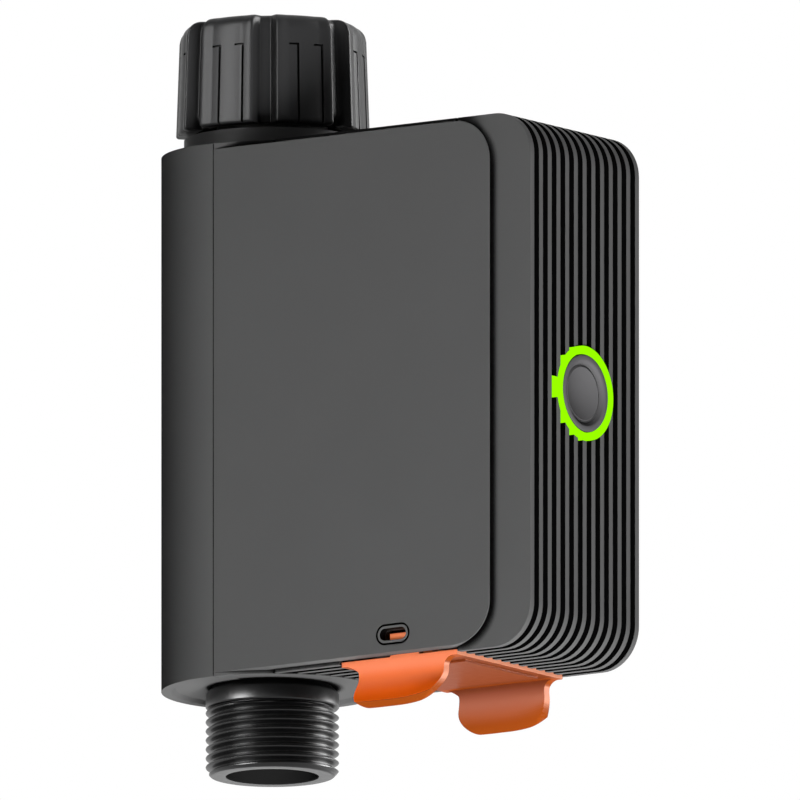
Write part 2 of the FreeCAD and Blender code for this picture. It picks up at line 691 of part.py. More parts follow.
def inlet_nut():
    bottom = -NUT_HEIGHT
    top = NUT_RADIUS - NUT_TAPER
    body = Part.makeLoft([nut_cross_section(NUT_RADIUS, bottom), nut_cross_section(top, 0.0)], True, True)
    arc = []
    for degrees in range(0, 91, 15):
        turn = math.radians(degrees)
        arc.append((top - NUT_TOP_ROUND * (1 - math.sin(turn)), -NUT_TOP_ROUND * (1 - math.cos(turn))))
    wide = NUT_RADIUS + BEYOND
    dome = turned([(0, 0.0)] + arc + [(wide, -NUT_TOP_ROUND), (wide, bottom), (0, bottom)])
    body = body.common(dome)
    step = 360.0 / NUT_LOBES
    cuts = [upright(NUT_THREAD_RADIUS, WASHER_TOP, BEYOND),
            upright(NUT_THREAD_RADIUS + NUT_UNDERCUT, NUT_LIP_HIGH, WASHER_TOP),
            upright(STUB_RADIUS + FIT_GAP, bottom - BEYOND, BEYOND),
            upright(NUT_RECESS_RADIUS, bottom - BEYOND, NUT_LIP_LOW)]
    for lobe in range(NUT_LOBES):
        centre = NUT_GROOVE_TURN + (lobe + 0.5) * step
        cuts += [nut_strip(centre - NUT_STRIP_ANGLE, bottom), nut_strip(centre + NUT_STRIP_ANGLE, bottom)]
        corner = FreeCAD.Vector(NUT_RADIUS - NUT_NOTCH_DEPTH, -NUT_GROOVE_WIDTH / 2, bottom - BEYOND)
        notch = Part.makeBox(NUT_NOTCH_DEPTH + BEYOND, NUT_GROOVE_WIDTH, NUT_NOTCH_HEIGHT + BEYOND, corner)
        notch.rotate(FreeCAD.Vector(), FreeCAD.Vector(0, 0, 1), NUT_GROOVE_TURN + lobe * step)
        cuts.append(notch)
    return body.cut(cuts)


def nut_retaining_ring():
    """Open snap ring in the groove of the pipe stub, over the lip of the nut."""
    z = NUT_LIP_HIGH + SEAT_GAP + TURN_GAP
    ring = tube(RING_RADIUS, STUB_RADIUS - RING_GROOVE + PIN_GAP, z, z + RING_HEIGHT)
    mouth = block(-RING_OPENING / 2, RING_OPENING / 2, 0, RING_RADIUS + BEYOND,
                  z - BEYOND, z + RING_HEIGHT + BEYOND)
    return ring.cut(mouth)


def hose_washer():
    return tube(WASHER_RADIUS, WASHER_HOLE, WASHER_BOTTOM, WASHER_TOP)


def inlet_filter():
    """Slotted basket that hangs in the stub from a flange."""
    flange = upright(STUB_RADIUS - STUB_CHAMFER, STUB_TOP, STUB_TOP + FILTER_FLANGE)
    cup = upright(FILTER_RADIUS, STUB_TOP - FILTER_LENGTH, STUB_TOP + FILTER_FLANGE)
    hollow = upright(FILTER_RADIUS - FILTER_WALL, STUB_TOP - FILTER_LENGTH + FILTER_WALL, STUB_TOP + BEYOND)
    slots = []
    for k in range(FILTER_SLOTS // 2):
        corner = FreeCAD.Vector(-2 * FILTER_RADIUS, -FILTER_SLOT_WIDTH / 2,
                                STUB_TOP - FILTER_LENGTH + FILTER_RIM)
        slot = Part.makeBox(4 * FILTER_RADIUS, FILTER_SLOT_WIDTH, FILTER_LENGTH - 2 * FILTER_RIM, corner)
        slot.rotate(FreeCAD.Vector(), FreeCAD.Vector(0, 0, 1), k * 360.0 / FILTER_SLOTS)
        slots.append(slot)
    return flange.fuse(cup).cut([hollow] + slots)


def valve_ball():
    """Ball with its bore across the flow at rest, which shuts the water off."""
    ball = Part.makeSphere(BALL_RADIUS, FreeCAD.Vector(0, 0, BALL_Z))
    bore = Part.makeCylinder(BALL_BORE_RADIUS, 4 * BALL_RADIUS, FreeCAD.Vector(-2 * BALL_RADIUS, 0, BALL_Z),
                             FreeCAD.Vector(1, 0, 0))
    slot = block(-BALL_RADIUS, BALL_RADIUS, BALL_RADIUS - STEM_TANG_DEPTH, BALL_RADIUS + BEYOND,
                 BALL_Z - STEM_TANG_WIDTH / 2, BALL_Z + STEM_TANG_WIDTH / 2)
    return ball.cut([bore, slot])


def ball_seats():
    reach = BALL_RADIUS / math.sqrt(2) - SEAT_LIP
    ring = tube(SPOUT_SLEEVE_RADIUS, SEAT_BORE_RADIUS, BALL_Z + reach, BALL_Z + SEAT_OUT)
    upper = ring.cut(Part.makeSphere(BALL_RADIUS + TURN_GAP, FreeCAD.Vector(0, 0, BALL_Z)))
    lower = upper.mirror(FreeCAD.Vector(0, 0, BALL_Z), FreeCAD.Vector(0, 0, 1))
    return group([upper, lower])


def stem_ring_places():
    return [BALL_RADIUS + offset for offset in STEM_RING_OFFSETS]


def valve_stem():
    """Shaft from the tang in the ball to its bearing in the gear case cover."""
    shaft = rod(STEM_RADIUS, BALL_RADIUS - FIT_GAP, COVER_F + CASE_WALL - SEAT_GAP, 0, BALL_Z)
    tang = block(-STEM_RADIUS, STEM_RADIUS, BALL_RADIUS - STEM_TANG_DEPTH + FIT_GAP, BALL_RADIUS + BEYOND,
                 BALL_Z - STEM_TANG_WIDTH / 2 + PIN_GAP, BALL_Z + STEM_TANG_WIDTH / 2 - PIN_GAP)
    inside = rod(STEM_RADIUS, 0, BALL_RADIUS + BEYOND, 0, BALL_Z)
    floor = STEM_RADIUS - STEM_RING_DEPTH
    grooves = [lying_tube(STEM_RADIUS + BEYOND, floor, f, f + STEM_RING_WIDTH, 0, BALL_Z)
               for f in stem_ring_places()]
    return shaft.fuse(tang.common(inside)).cut(grooves).removeSplitter()


def stem_seals():
    inner = STEM_RADIUS - STEM_RING_DEPTH + PIN_GAP
    return group([lying_tube(STEM_RADIUS, inner, f + PIN_GAP, f + STEM_RING_WIDTH - PIN_GAP, 0, BALL_Z)
                  for f in stem_ring_places()])


# Valve drive

def tooth_flank(teeth):
    """Points (radius, half angle) of one involute flank, root to tip."""
    pitch = GEAR_MODULE * teeth / 2
    base = pitch * math.cos(math.radians(PRESSURE_ANGLE))
    root = pitch - GEAR_MODULE
    tip = pitch + 0.8 * GEAR_MODULE
    start = max(base, root + 0.1)

    def involute(radius):
        turn = math.acos(min(1.0, base / radius))
        return math.tan(turn) - turn

    half = math.pi / (2 * teeth) - TOOTH_BACKLASH / 2 / pitch
    radii = [start + (tip - start) * k / 3 for k in range(4)]
    flank = [(r, half + involute(pitch) - involute(r)) for r in radii]
    return [(root, flank[0][1])] + flank


def gear(teeth, f0, f1, z, first):
    """Spur gear on a front-to-back axis, with one tooth centred on the angle first."""
    flank = tooth_flank(teeth)
    points = []
    for tooth in range(teeth):
        middle = math.radians(first) + tooth * 2 * math.pi / teeth
        points += [(r, middle - half) for r, half in flank]
        points += [(r, middle + half) for r, half in reversed(flank)]
    corners = [vec(r * math.cos(a), f0, z + r * math.sin(a)) for r, a in points]
    face = Part.Face(Part.makePolygon(corners + corners[:1]))
    return face.extrude(FreeCAD.Vector(0, f0 - f1, 0))


def output_gear():
    wheel = gear(OUTPUT_TEETH, OUTPUT_F, OUTPUT_F + OUTPUT_THICK, BALL_Z, 90.0)
    hub = rod(STEM_RADIUS + OUTPUT_HUB_WALL, WHEEL_F, OUTPUT_F + OUTPUT_THICK, 0, BALL_Z)
    return wheel.fuse(hub).cut(rod(STEM_RADIUS, 0, COVER_F, 0, BALL_Z))


def reduction_gear():
    gap_angle = -90.0 + 180.0 / PINION_TEETH
    pinion = gear(PINION_TEETH, WHEEL_F, OUTPUT_F + OUTPUT_THICK, LAY_Z, gap_angle)
    wheel = gear(WHEEL_TEETH, WHEEL_F, WHEEL_F + WHEEL_THICK, LAY_Z, 90.0)
    return wheel.fuse(pinion).cut(rod(AXLE_RADIUS + TURN_GAP, 0, COVER_F, 0, LAY_Z))


def drive_pinion():
    gap_angle = -90.0 + 180.0 / PINION_TEETH
    pinion = gear(PINION_TEETH, WHEEL_F, WHEEL_F + WHEEL_THICK, MOTOR_Z, gap_angle)
    shaft = rod(MOTOR_SHAFT_RADIUS, CASE_F + LAYER_GAP, MOTOR_F + BEYOND, 0, MOTOR_Z)
    return pinion.fuse(shaft)


def drive_motor():
    can = rod(MOTOR_RADIUS, MOTOR_F, MOTOR_F + MOTOR_LENGTH, 0, MOTOR_Z)
    far = MOTOR_F + MOTOR_LENGTH
    can = can.makeFillet(MOTOR_EDGE, [e for e in can.Edges if abs(e.CenterOfMass.y + far) < 1e-6])
    bore = rod(MOTOR_SHAFT_RADIUS + TURN_GAP, 0, MOTOR_F + BEYOND + FIT_GAP, 0, MOTOR_Z)
    half, z = MOTOR_TAG_WIDTH / 2, MOTOR_Z + MOTOR_TAG_X
    tag = block(MOTOR_TAG_X - half, MOTOR_TAG_X + half, far - BEYOND, BULKHEAD_F, z, z + MOTOR_TAG_THICK)
    return can.fuse(both_sides(tag)).cut(bore)


def gear_axle():
    return rod(AXLE_RADIUS, CASE_F + SEAT_GAP, COVER_F + CASE_WALL - SEAT_GAP, 0, LAY_Z)


def case_outline(f0, f1, inset):
    half = CASE_HALF_WIDTH - inset
    plate = block(-half, half, f0, f1, CASE_BOTTOM + inset, CASE_TOP - inset)
    return fillet_where(plate, CASE_ROUND - inset, "y", lambda c: True)


def case_screw_places():
    low, high = CASE_BOTTOM + CASE_SCREW_INSET, CASE_TOP - CASE_SCREW_INSET
    return [(x, z) for x in (-CASE_SCREW_X, CASE_SCREW_X) for z in (low, high)]


def gear_case():
    outline = case_outline(CASE_F, COVER_F, 0.0)
    tub = outline.cut(case_outline(CASE_F + CASE_WALL, COVER_F + BEYOND, CASE_WALL))
    posts = [rod(POST_RADIUS, CASE_F, COVER_F, x, z) for x, z in case_screw_places()]
    tub = tub.fuse([post.common(outline) for post in posts])
    cuts = [rod(SCREW_RADIUS + TURN_GAP, 0, COVER_F + BEYOND, x, z) for x, z in case_screw_places()]
    cuts += [rod(STEM_RADIUS + TURN_GAP, 0, COVER_F, 0, BALL_Z),
             rod(AXLE_RADIUS + PIN_GAP, 0, WHEEL_F, 0, LAY_Z),
             rod(MOTOR_SHAFT_RADIUS + TURN_GAP, 0, WHEEL_F, 0, MOTOR_Z)]
    return tub.cut(cuts).removeSplitter()


def gear_case_cover():
    plate = case_outline(COVER_F, COVER_F + CASE_WALL, 0.0)
    collar = rod(MOTOR_RADIUS + CASE_WALL, COVER_F, COVER_F + MOTOR_COLLAR, 0, MOTOR_Z)
    through = COVER_F + CASE_WALL + BEYOND
    cuts = [rod(SCREW_RADIUS + TURN_GAP, 0, through, x, z) for x, z in case_screw_places()]
    cuts += [rod(STEM_RADIUS + TURN_GAP, 0, through, 0, BALL_Z),
             rod(AXLE_RADIUS + PIN_GAP, 0, through, 0, LAY_Z),
             rod(MOTOR_RADIUS + FIT_GAP, 0, COVER_F + MOTOR_COLLAR + BEYOND, 0, MOTOR_Z)]
    return plate.fuse(collar).cut(cuts).removeSplitter()


def screw(f_tip, f_head, x, z, grows=1):
    """Screw along the front-to-back axis, its head beyond f_head."""
    shank = rod(SCREW_RADIUS, min(f_tip, f_head), max(f_tip, f_head), x, z)
    head_far = f_head + grows * SCREW_HEAD
    head = rod(SCREW_HEAD_RADIUS, min(f_head, head_far), max(f_head, head_far), x, z)
    return shank.fuse(head)


def gear_case_screws():
    head = COVER_F + CASE_WALL
    return group([screw(CASE_SCREW_TIP_F + SEAT_GAP, head, x, z) for x, z in case_screw_places()])


# Flow meter

def turbine_rotor():
    """Hub with pitched blades, trimmed to a cylinder."""
    low, high = TURBINE_Z - TURBINE_HEIGHT / 2, TURBINE_Z + TURBINE_HEIGHT / 2
    hub = upright(TURBINE_HUB, low, high)
    blades = []
    for k in range(TURBINE_BLADES):
        blade = Part.makeBox(TURBINE_RADIUS + BEYOND, BLADE_THICK, 2 * TURBINE_HEIGHT,
                             FreeCAD.Vector(0, -BLADE_THICK / 2, TURBINE_Z - TURBINE_HEIGHT))
        blade.rotate(FreeCAD.Vector(0, 0, TURBINE_Z), FreeCAD.Vector(1, 0, 0), BLADE_PITCH)
        blade.rotate(FreeCAD.Vector(), FreeCAD.Vector(0, 0, 1), k * 360.0 / TURBINE_BLADES)
        blades.append(blade.common(upright(TURBINE_RADIUS, low, high)))
    return hub.fuse(blades).cut(upright(TURBINE_AXLE_RADIUS + TURN_GAP, low - BEYOND, high + BEYOND))


def turbine_axle():
    half = CARRIER_HEIGHT - FIT_GAP
    return upright(TURBINE_AXLE_RADIUS, TURBINE_Z - half, TURBINE_Z + half)


def turbine_carrier():
    """Upper ring with three spokes that hold the axle of the flow turbine."""
    low, high = TURBINE_Z + PIN_GAP, TURBINE_Z + CARRIER_HEIGHT
    outer = BORE_RADIUS - TURN_GAP
    ring = tube(outer, outer - CARRIER_WALL, low, high)
    spoke_low = high - CARRIER_SPOKE
    spokes = [upright(CARRIER_HUB_RADIUS, spoke_low, high)]
    for k in range(CARRIER_SPOKES):
        spoke = Part.makeBox(outer - CARRIER_WALL / 2, CARRIER_SPOKE, CARRIER_SPOKE,
                             FreeCAD.Vector(0, -CARRIER_SPOKE / 2, spoke_low))
        spoke.rotate(FreeCAD.Vector(), FreeCAD.Vector(0, 0, 1), k * 360.0 / CARRIER_SPOKES)
        spokes.append(spoke)
    return ring.fuse(spokes).cut(upright(TURBINE_AXLE_RADIUS + PIN_GAP, low - BEYOND, high + BEYOND))


def turbine_carriers():
    upper = turbine_carrier()
    lower = upper.mirror(FreeCAD.Vector(0, 0, TURBINE_Z), FreeCAD.Vector(0, 0, 1))
    return group([upper, lower])


def flow_sensor():
    """Small board on the pipe with a pick-up chip and a plug socket."""
    face = SENSOR_F + SENSOR_BOARD
    board = block(-SENSOR_HALF_WIDTH, SENSOR_HALF_WIDTH, SENSOR_F, face,
                  TURBINE_Z - SENSOR_HALF_HEIGHT, TURBINE_Z + SENSOR_HALF_HEIGHT)
    chip = on_board(SENSOR_CHIP, face, 0, TURBINE_Z)
    plug = on_board(SENSOR_PLUG, face, 0, TURBINE_Z + SENSOR_PLUG_RISE)
    return board.fuse([chip, plug])


# Electrical joint between casing and module

def contact_z():
    return CEILING - CONTACT_DROP


def contact_window():
    return block(-CONTACT_HALF_WIDTH, CONTACT_HALF_WIDTH, BULKHEAD_F - BEYOND, BAY_F + BEYOND,
                 contact_z() - CONTACT_HALF_HEIGHT, contact_z() + CONTACT_HALF_HEIGHT)


def contact_places():
    return [(k - 1.5) * CONTACT_PITCH for k in range(4)]


def contact_block():
    """Insulating block in the bulkhead, with a flange on the wet side."""
    z = contact_z()
    half_w, half_h = CONTACT_HALF_WIDTH - FIT_GAP, CONTACT_HALF_HEIGHT - FIT_GAP
    plug = block(-half_w, half_w, BULKHEAD_F - BEYOND, BAY_F, z - half_h, z + half_h)
    half_w, half_h = CONTACT_HALF_WIDTH + CONTACT_FLANGE, CONTACT_HALF_HEIGHT + CONTACT_FLANGE
    flange = block(-half_w, half_w, BULKHEAD_F - CONTACT_FLANGE, BULKHEAD_F, z - half_h, z + half_h)
    radius, rear = CONTACT_RADIUS + CONTACT_COLLAR, BULKHEAD_F - CONTACT_FLANGE - BEYOND
    holes = [rod(radius, rear, BAY_F + BEYOND, x, z) for x in contact_places()]
    return plug.fuse(flange).cut(holes)


def contact_pads():
    radius, rear = CONTACT_RADIUS + CONTACT_COLLAR, BULKHEAD_F - CONTACT_TAIL
    return group([rod(radius, rear, BAY_F, x, contact_z()) for x in contact_places()])


def module_contacts():
    tip, far = BAY_F + FIT_GAP, PLUG_F + CONTACT_COLLAR_LENGTH
    pins = []
    for x in contact_places():
        pin = rod(CONTACT_RADIUS, tip, far, x, contact_z())
        barrel = rod(CONTACT_RADIUS + CONTACT_COLLAR, PLUG_F, far, x, contact_z())
        pins.append(pin.fuse(barrel))
    return group(pins)


# Module

def ribbed_front():
    """Ribbed block of the module, its ribs wrapped over top, front and underside."""
    core = rounded_side(-CORE_HALF_WIDTH, CORE_HALF_WIDTH, MODULE_F, FRONT_F - RIB_DEPTH,
                        BODY_BOTTOM + RIB_DEPTH, BODY_TOP - RIB_DEPTH, FRONT_ROUND - RIB_DEPTH)
    half = RIB_WIDTH / 2
    ribs = [rounded_side(x - half, x + half, MODULE_F, FRONT_F, BODY_BOTTOM, BODY_TOP, FRONT_ROUND)
            for x in rib_places()]
    return core.fuse(ribs)


def runner():
    """Rail under the plug, notched for the prong of the latch."""
    rail = block(RUNNER_X - RUNNER_HALF_WIDTH, RUNNER_X + RUNNER_HALF_WIDTH, PLUG_F, COLLAR_F + BEYOND,
                 RUNNER_BOTTOM, PLUG_BOTTOM + BEYOND)
    notch = block(RUNNER_X - RUNNER_HALF_WIDTH - BEYOND, RUNNER_X + RUNNER_HALF_WIDTH + BEYOND,
                  PRONG_F0 - SLIDE_GAP, PRONG_F1 + SLIDE_GAP, RUNNER_BOTTOM - BEYOND,
                  RUNNER_BOTTOM + LATCH_TRAVEL + SLIDE_GAP)
    return rail.cut(notch)


def upper_post_places():
    return [(x, PLUG_TOP - UPPER_POST_DROP) for x in (-UPPER_POST_X, UPPER_POST_X)]


def upper_post():
    """Screw post that grows out of the side wall of the module."""
    x, z = UPPER_POST_X, PLUG_TOP - UPPER_POST_DROP
    web = block(x, INNER_HALF_WIDTH + BEYOND, PLUG_F, PLUG_F + POST_LENGTH, z - POST_RADIUS, z + POST_RADIUS)
    return rod(POST_RADIUS, PLUG_F, PLUG_F + POST_LENGTH, x, z).fuse(web)


def runner_screw_places():
    return [(x, (RUNNER_BOTTOM + PLUG_BOTTOM) / 2) for x in (-RUNNER_X, RUNNER_X)]


def board_post_places():
    low, high = BOARD_LOW + BOARD_POST_INSET, BOARD_HIGH - BOARD_POST_INSET
    return [(x, z) for x in (-BOARD_POST_X, BOARD_POST_X) for z in (low, high)]


def module_seal_ring(f0, f1, outer, inner):
    """Rectangular ring round the collar of the module, outer and inner set in from its sides."""
    side, low, high = PLUG_HALF_WIDTH, RUNNER_BOTTOM, PLUG_TOP
    big = block(-side + outer, side - outer, f0, f1, low + outer, high - outer)
    small = block(-side + inner, side - inner, f0 - BEYOND, f1 + BEYOND, low + inner, high - inner)
    return big.cut(small)


def module_shell():
    front = ribbed_front()
    plug = block(-PLUG_HALF_WIDTH, PLUG_HALF_WIDTH, PLUG_F, COLLAR_F + BEYOND, PLUG_BOTTOM, PLUG_TOP)
    collar = block(-PLUG_HALF_WIDTH, PLUG_HALF_WIDTH, COLLAR_F, MODULE_F + BEYOND, RUNNER_BOTTOM, PLUG_TOP)
    body = front.fuse([plug, collar] + both_sides(runner()))
    inner_round = FRONT_ROUND - RIB_DEPTH - WALL
    hollow = block(-INNER_HALF_WIDTH, INNER_HALF_WIDTH, PLUG_F - BEYOND, INNER_FRONT_F - inner_round,
                   PLUG_BOTTOM + WALL, PLUG_TOP - WALL)
    pocket = rounded_side(-INNER_HALF_WIDTH, INNER_HALF_WIDTH, MODULE_F + WALL, INNER_FRONT_F,
                          BODY_BOTTOM + RIB_DEPTH + WALL, BODY_TOP - RIB_DEPTH - WALL, inner_round)
    body = body.cut([hollow, pocket])
    posts = both_sides(upper_post())
    posts += [rod(POST_RADIUS, BOARD_FACE_F, INNER_FRONT_F + BEYOND, x, z) for x, z in board_post_places()]
    body = body.fuse(posts)
    cuts = [rod(RING_OUTER_RADIUS + FIT_GAP, INNER_FRONT_F - BEYOND, FRONT_F + BEYOND, 0, BUTTON_Z),
            module_seal_ring(MODULE_SEAL_F, MODULE_SEAL_F + SEAL_WIDTH, -BEYOND, MODULE_SEAL_DEPTH)]
    cuts += [rod(SCREW_RADIUS, PLUG_F - BEYOND, PLUG_F + MODULE_SCREW_LENGTH, x, z)
             for x, z in upper_post_places() + runner_screw_places()]
    cuts += [rod(SCREW_RADIUS, BOARD_F, INNER_FRONT_F - TURN_GAP, x, z) for x, z in board_post_places()]
    return body.cut(cuts).removeSplitter()


def module_seal():
    proud = SLIDE_GAP - FIT_GAP
    return module_seal_ring(MODULE_SEAL_F + TURN_GAP, MODULE_SEAL_F + SEAL_WIDTH - TURN_GAP,
                            -proud, MODULE_SEAL_DEPTH - TURN_GAP)


def module_back():
    """Plate that closes the rear of the module and carries the contacts."""
    plate = block(-PLUG_HALF_WIDTH, PLUG_HALF_WIDTH, MODULE_BACK_F, PLUG_F, PLUG_BOTTOM, PLUG_TOP)
    foot = block(RUNNER_X - RUNNER_HALF_WIDTH, RUNNER_X + RUNNER_HALF_WIDTH, MODULE_BACK_F, PLUG_F,
                 RUNNER_BOTTOM, PLUG_BOTTOM)
    rear = MODULE_BACK_F - BEYOND
    holes = [rod(CONTACT_RADIUS + PIN_GAP, rear, PLUG_F + BEYOND, x, contact_z()) for x in contact_places()]
    for x, z in upper_post_places() + runner_screw_places():
        holes.append(rod(SCREW_RADIUS + TURN_GAP, rear, PLUG_F + BEYOND, x, z))
        holes.append(rod(SCREW_HEAD_RADIUS + FIT_GAP, rear, MODULE_BACK_F + SCREW_HEAD, x, z))
    return plate.fuse(both_sides(foot)).cut(holes).removeSplitter()


def module_screws():
    seat = MODULE_BACK_F + SCREW_HEAD
    tip = PLUG_F + MODULE_SCREW_LENGTH - SLIDE_GAP
    return group([screw(tip, seat, x, z, -1) for x, z in upper_post_places() + runner_screw_places()])


# Button and board

def light_ring():
    """Clear ring round the button, with a flange behind the front wall."""
    bore, wide = BUTTON_RADIUS + BUTTON_GAP, BUTTON_RADIUS + BUTTON_FLANGE + SLIDE_GAP
    back, face = BOARD_FACE_F + RING_LIFT, FRONT_F + RING_PROUD
    step = INNER_FRONT_F + SLIDE_GAP
    flange, flange_back = RING_OUTER_RADIUS + RING_FLANGE, INNER_FRONT_F - RING_FLANGE_THICK
    return turned_lying([(wide, back), (RING_OUTER_RADIUS, back), (RING_OUTER_RADIUS, flange_back),
                         (flange, flange_back), (flange, INNER_FRONT_F), (RING_OUTER_RADIUS, INNER_FRONT_F),
                         (RING_OUTER_RADIUS, face), (bore, face), (bore, step), (wide, step)], BUTTON_Z)


def power_button():
    """Button with a flat rim round a dished face, and a flange that keeps it in the ring."""
    face = FRONT_F + BUTTON_PROUD
    stop = INNER_FRONT_F + SLIDE_GAP - SEAT_GAP
    seat = switch_face() + BUTTON_FLANGE
    radius, wide = BUTTON_RADIUS, BUTTON_RADIUS + BUTTON_FLANGE
    dish = radius - BUTTON_RIM - BUTTON_SLOPE
    deep = face - BUTTON_DISH
    quarter = [math.sin(math.pi / 2 * k / 3) for k in range(4)]
    slope = [(dish + BUTTON_SLOPE * (1 - k / 3), face - BUTTON_DISH * quarter[k]) for k in range(4)]
    bowl = [(dish * (1 - k / 3), deep - BUTTON_BOWL * quarter[k]) for k in range(1, 4)]
    foot = BUTTON_FOOT_RADIUS
    return turned_lying([(0, seat), (foot, seat), (foot, stop - BUTTON_FLANGE), (wide, stop - BUTTON_FLANGE),
                         (wide, stop), (radius, stop), (radius, face - BUTTON_EDGE),
                         (radius - BUTTON_EDGE, face)] + slope + bowl, BUTTON_Z)


def switch_face():
    return BOARD_FACE_F + SWITCH_HEIGHT


def button_switch():
    z = BUTTON_Z
    can = block(-SWITCH_HALF, SWITCH_HALF, BOARD_FACE_F, switch_face(), z - SWITCH_HALF, z + SWITCH_HALF)
    return can.cut(rod(PLUNGER_RADIUS + FIT_GAP, BOARD_FACE_F + SWITCH_FLOOR, switch_face() + BEYOND, 0, z))


def switch_plunger():
    front = switch_face() + BUTTON_FLANGE
    return rod(PLUNGER_RADIUS, BOARD_FACE_F + SWITCH_FLOOR + BUTTON_TRAVEL + SEAT_GAP, front, 0, BUTTON_Z)


def control_board():
    board = block(-BOARD_HALF_WIDTH, BOARD_HALF_WIDTH, BOARD_F, BOARD_FACE_F, BOARD_LOW, BOARD_HIGH)
    chips = [on_board(size, BOARD_FACE_F, x, BUTTON_Z + rise) for size, x, rise in BOARD_CHIPS]
    holes = [rod(SCREW_RADIUS + TURN_GAP, BOARD_F - BEYOND, BOARD_FACE_F + BEYOND, x, z)
             for x, z in board_post_places()]
    return board.fuse(chips).cut(holes)


def board_screws():
    return group([screw(INNER_FRONT_F - SEAT_GAP, BOARD_F, x, z, -1) for x, z in board_post_places()])


def radio_module():
    """Small radio board with its shield can, above the button."""
    z = BUTTON_Z + RADIO_RISE
    base = on_board(RADIO_BASE, BOARD_FACE_F, 0, z)
    can = on_board(RADIO_CAN, BOARD_FACE_F + RADIO_BASE[1], 0, z - RADIO_CAN_DROP)
    return base.fuse(can)


def status_leds():
    reach = (RING_OUTER_RADIUS + BUTTON_RADIUS) / 2
    leds = []
    for k in range(4):
        x = reach * math.cos(math.radians(45 + 90 * k))
        z = BUTTON_Z + reach * math.sin(math.radians(45 + 90 * k))
        half = LED_SIZE / 2
        leds.append(block(x - half, x + half, BOARD_FACE_F, BOARD_FACE_F + LED_HEIGHT, z - half, z + half))
    return group(leds)


# Batteries

def cell_places():
    """Four cells, two beside each other and two rows deep: (x, front, plus end up)."""
    rear = PLUG_F + HOLDER_BACK + HOLDER_GAP + CELL_RADIUS
    front = rear + 2 * CELL_RADIUS + CELL_ROW_GAP
    return [(-CELL_SPREAD, rear, True), (CELL_SPREAD, rear, False), (-CELL_SPREAD, front, False),
            (CELL_SPREAD, front, True)]


def holder_floor():
    return PLUG_BOTTOM + WALL + SLIDE_GAP


def cell_low():
    return holder_floor() + HOLDER_END + SPRING_HEIGHT


def cell_high():
    return cell_low() + CELL_LENGTH


def battery_cell(x, f, plus_up):
    body = upright(CELL_RADIUS, cell_low(), cell_high(), x, f)
    if plus_up:
        nub = upright(CELL_NUB_RADIUS, cell_high(), cell_high() + CELL_NUB, x, f)
    else:
        nub = upright(CELL_NUB_RADIUS, cell_low() - CELL_NUB, cell_low(), x, f)
    return body.fuse(nub)


def battery_holder():
    """Open tray for the four cells."""
    places = cell_places()
    half = CELL_SPREAD + CELL_RADIUS + HOLDER_WALL
    rear, front = places[0][1] - CELL_RADIUS - HOLDER_BACK, places[2][1] + CELL_RADIUS + CELL_ROW_GAP
    top = cell_high() + SPRING_HEIGHT + HOLDER_END
    tray = block(-half, half, rear, front, holder_floor(), top)
    low, high = holder_floor() + HOLDER_END, top - HOLDER_END
    cuts = [upright(CELL_RADIUS + CELL_GAP, low, high, x, f) for x, f, up in places]
    cuts.append(block(-half + HOLDER_LIP, half - HOLDER_LIP, places[2][1], front + BEYOND, low, high))
    cuts.append(block(-CELL_SPREAD, CELL_SPREAD, rear - BEYOND, places[0][1], low, high))
    return tray.cut(cuts)


def battery_contacts():
    """Flat plates at the plus ends and short springs at the minus ends."""
    low = holder_floor() + HOLDER_END
    high = cell_high() + SPRING_HEIGHT
    solids = []
    for x, f, plus_up in cell_places():
        if plus_up:
            flat = (cell_high() + CELL_NUB, high)
            spring = (low, cell_low())
        else:
            flat = (low, cell_low() - CELL_NUB)
            spring = (cell_high(), high)
        solids.append(upright(SPRING_RADIUS + SPRING_PLATE, flat[0], flat[1], x, f))
        coil = upright(SPRING_RADIUS, spring[0], spring[1], x, f)
        hole = upright(SPRING_RADIUS - CONTACT_PLATE, spring[0] - BEYOND, spring[1] + BEYOND, x, f)
        solids.append(coil.cut(hole))
    return group(solids)


# Release latch

def wing_section():
    """Upright strip that flares outwards to the lip, as a face across the width."""
    outer = LATCH_HALF_WIDTH
    bend_z = LATCH_TOP - WING_STRAIGHT
    radius = WING_FLARE_RADIUS

    def on_arc(reach, angle):
        turn = math.radians(180.0 + angle)
        return vec(outer + radius + reach * math.cos(turn), 0, bend_z + reach * math.sin(turn))

    wide = radius + WING_THICK
    half = WING_FLARE_ANGLE / 2
    top_out, top_in = vec(outer, 0, LATCH_TOP), vec(outer - WING_THICK, 0, LATCH_TOP)
    edges = [Part.LineSegment(top_out, on_arc(radius, 0)).toShape(),
             Part.Arc(on_arc(radius, 0), on_arc(radius, half), on_arc(radius, 2 * half)).toShape(),
             Part.LineSegment(on_arc(radius, 2 * half), on_arc(wide, 2 * half)).toShape(),
             Part.Arc(on_arc(wide, 2 * half), on_arc(wide, half), on_arc(wide, 0)).toShape(),
             Part.LineSegment(on_arc(wide, 0), top_in).toShape(),
             Part.LineSegment(top_in, top_out).toShape()]
    return Part.Face(Part.Wire(edges))


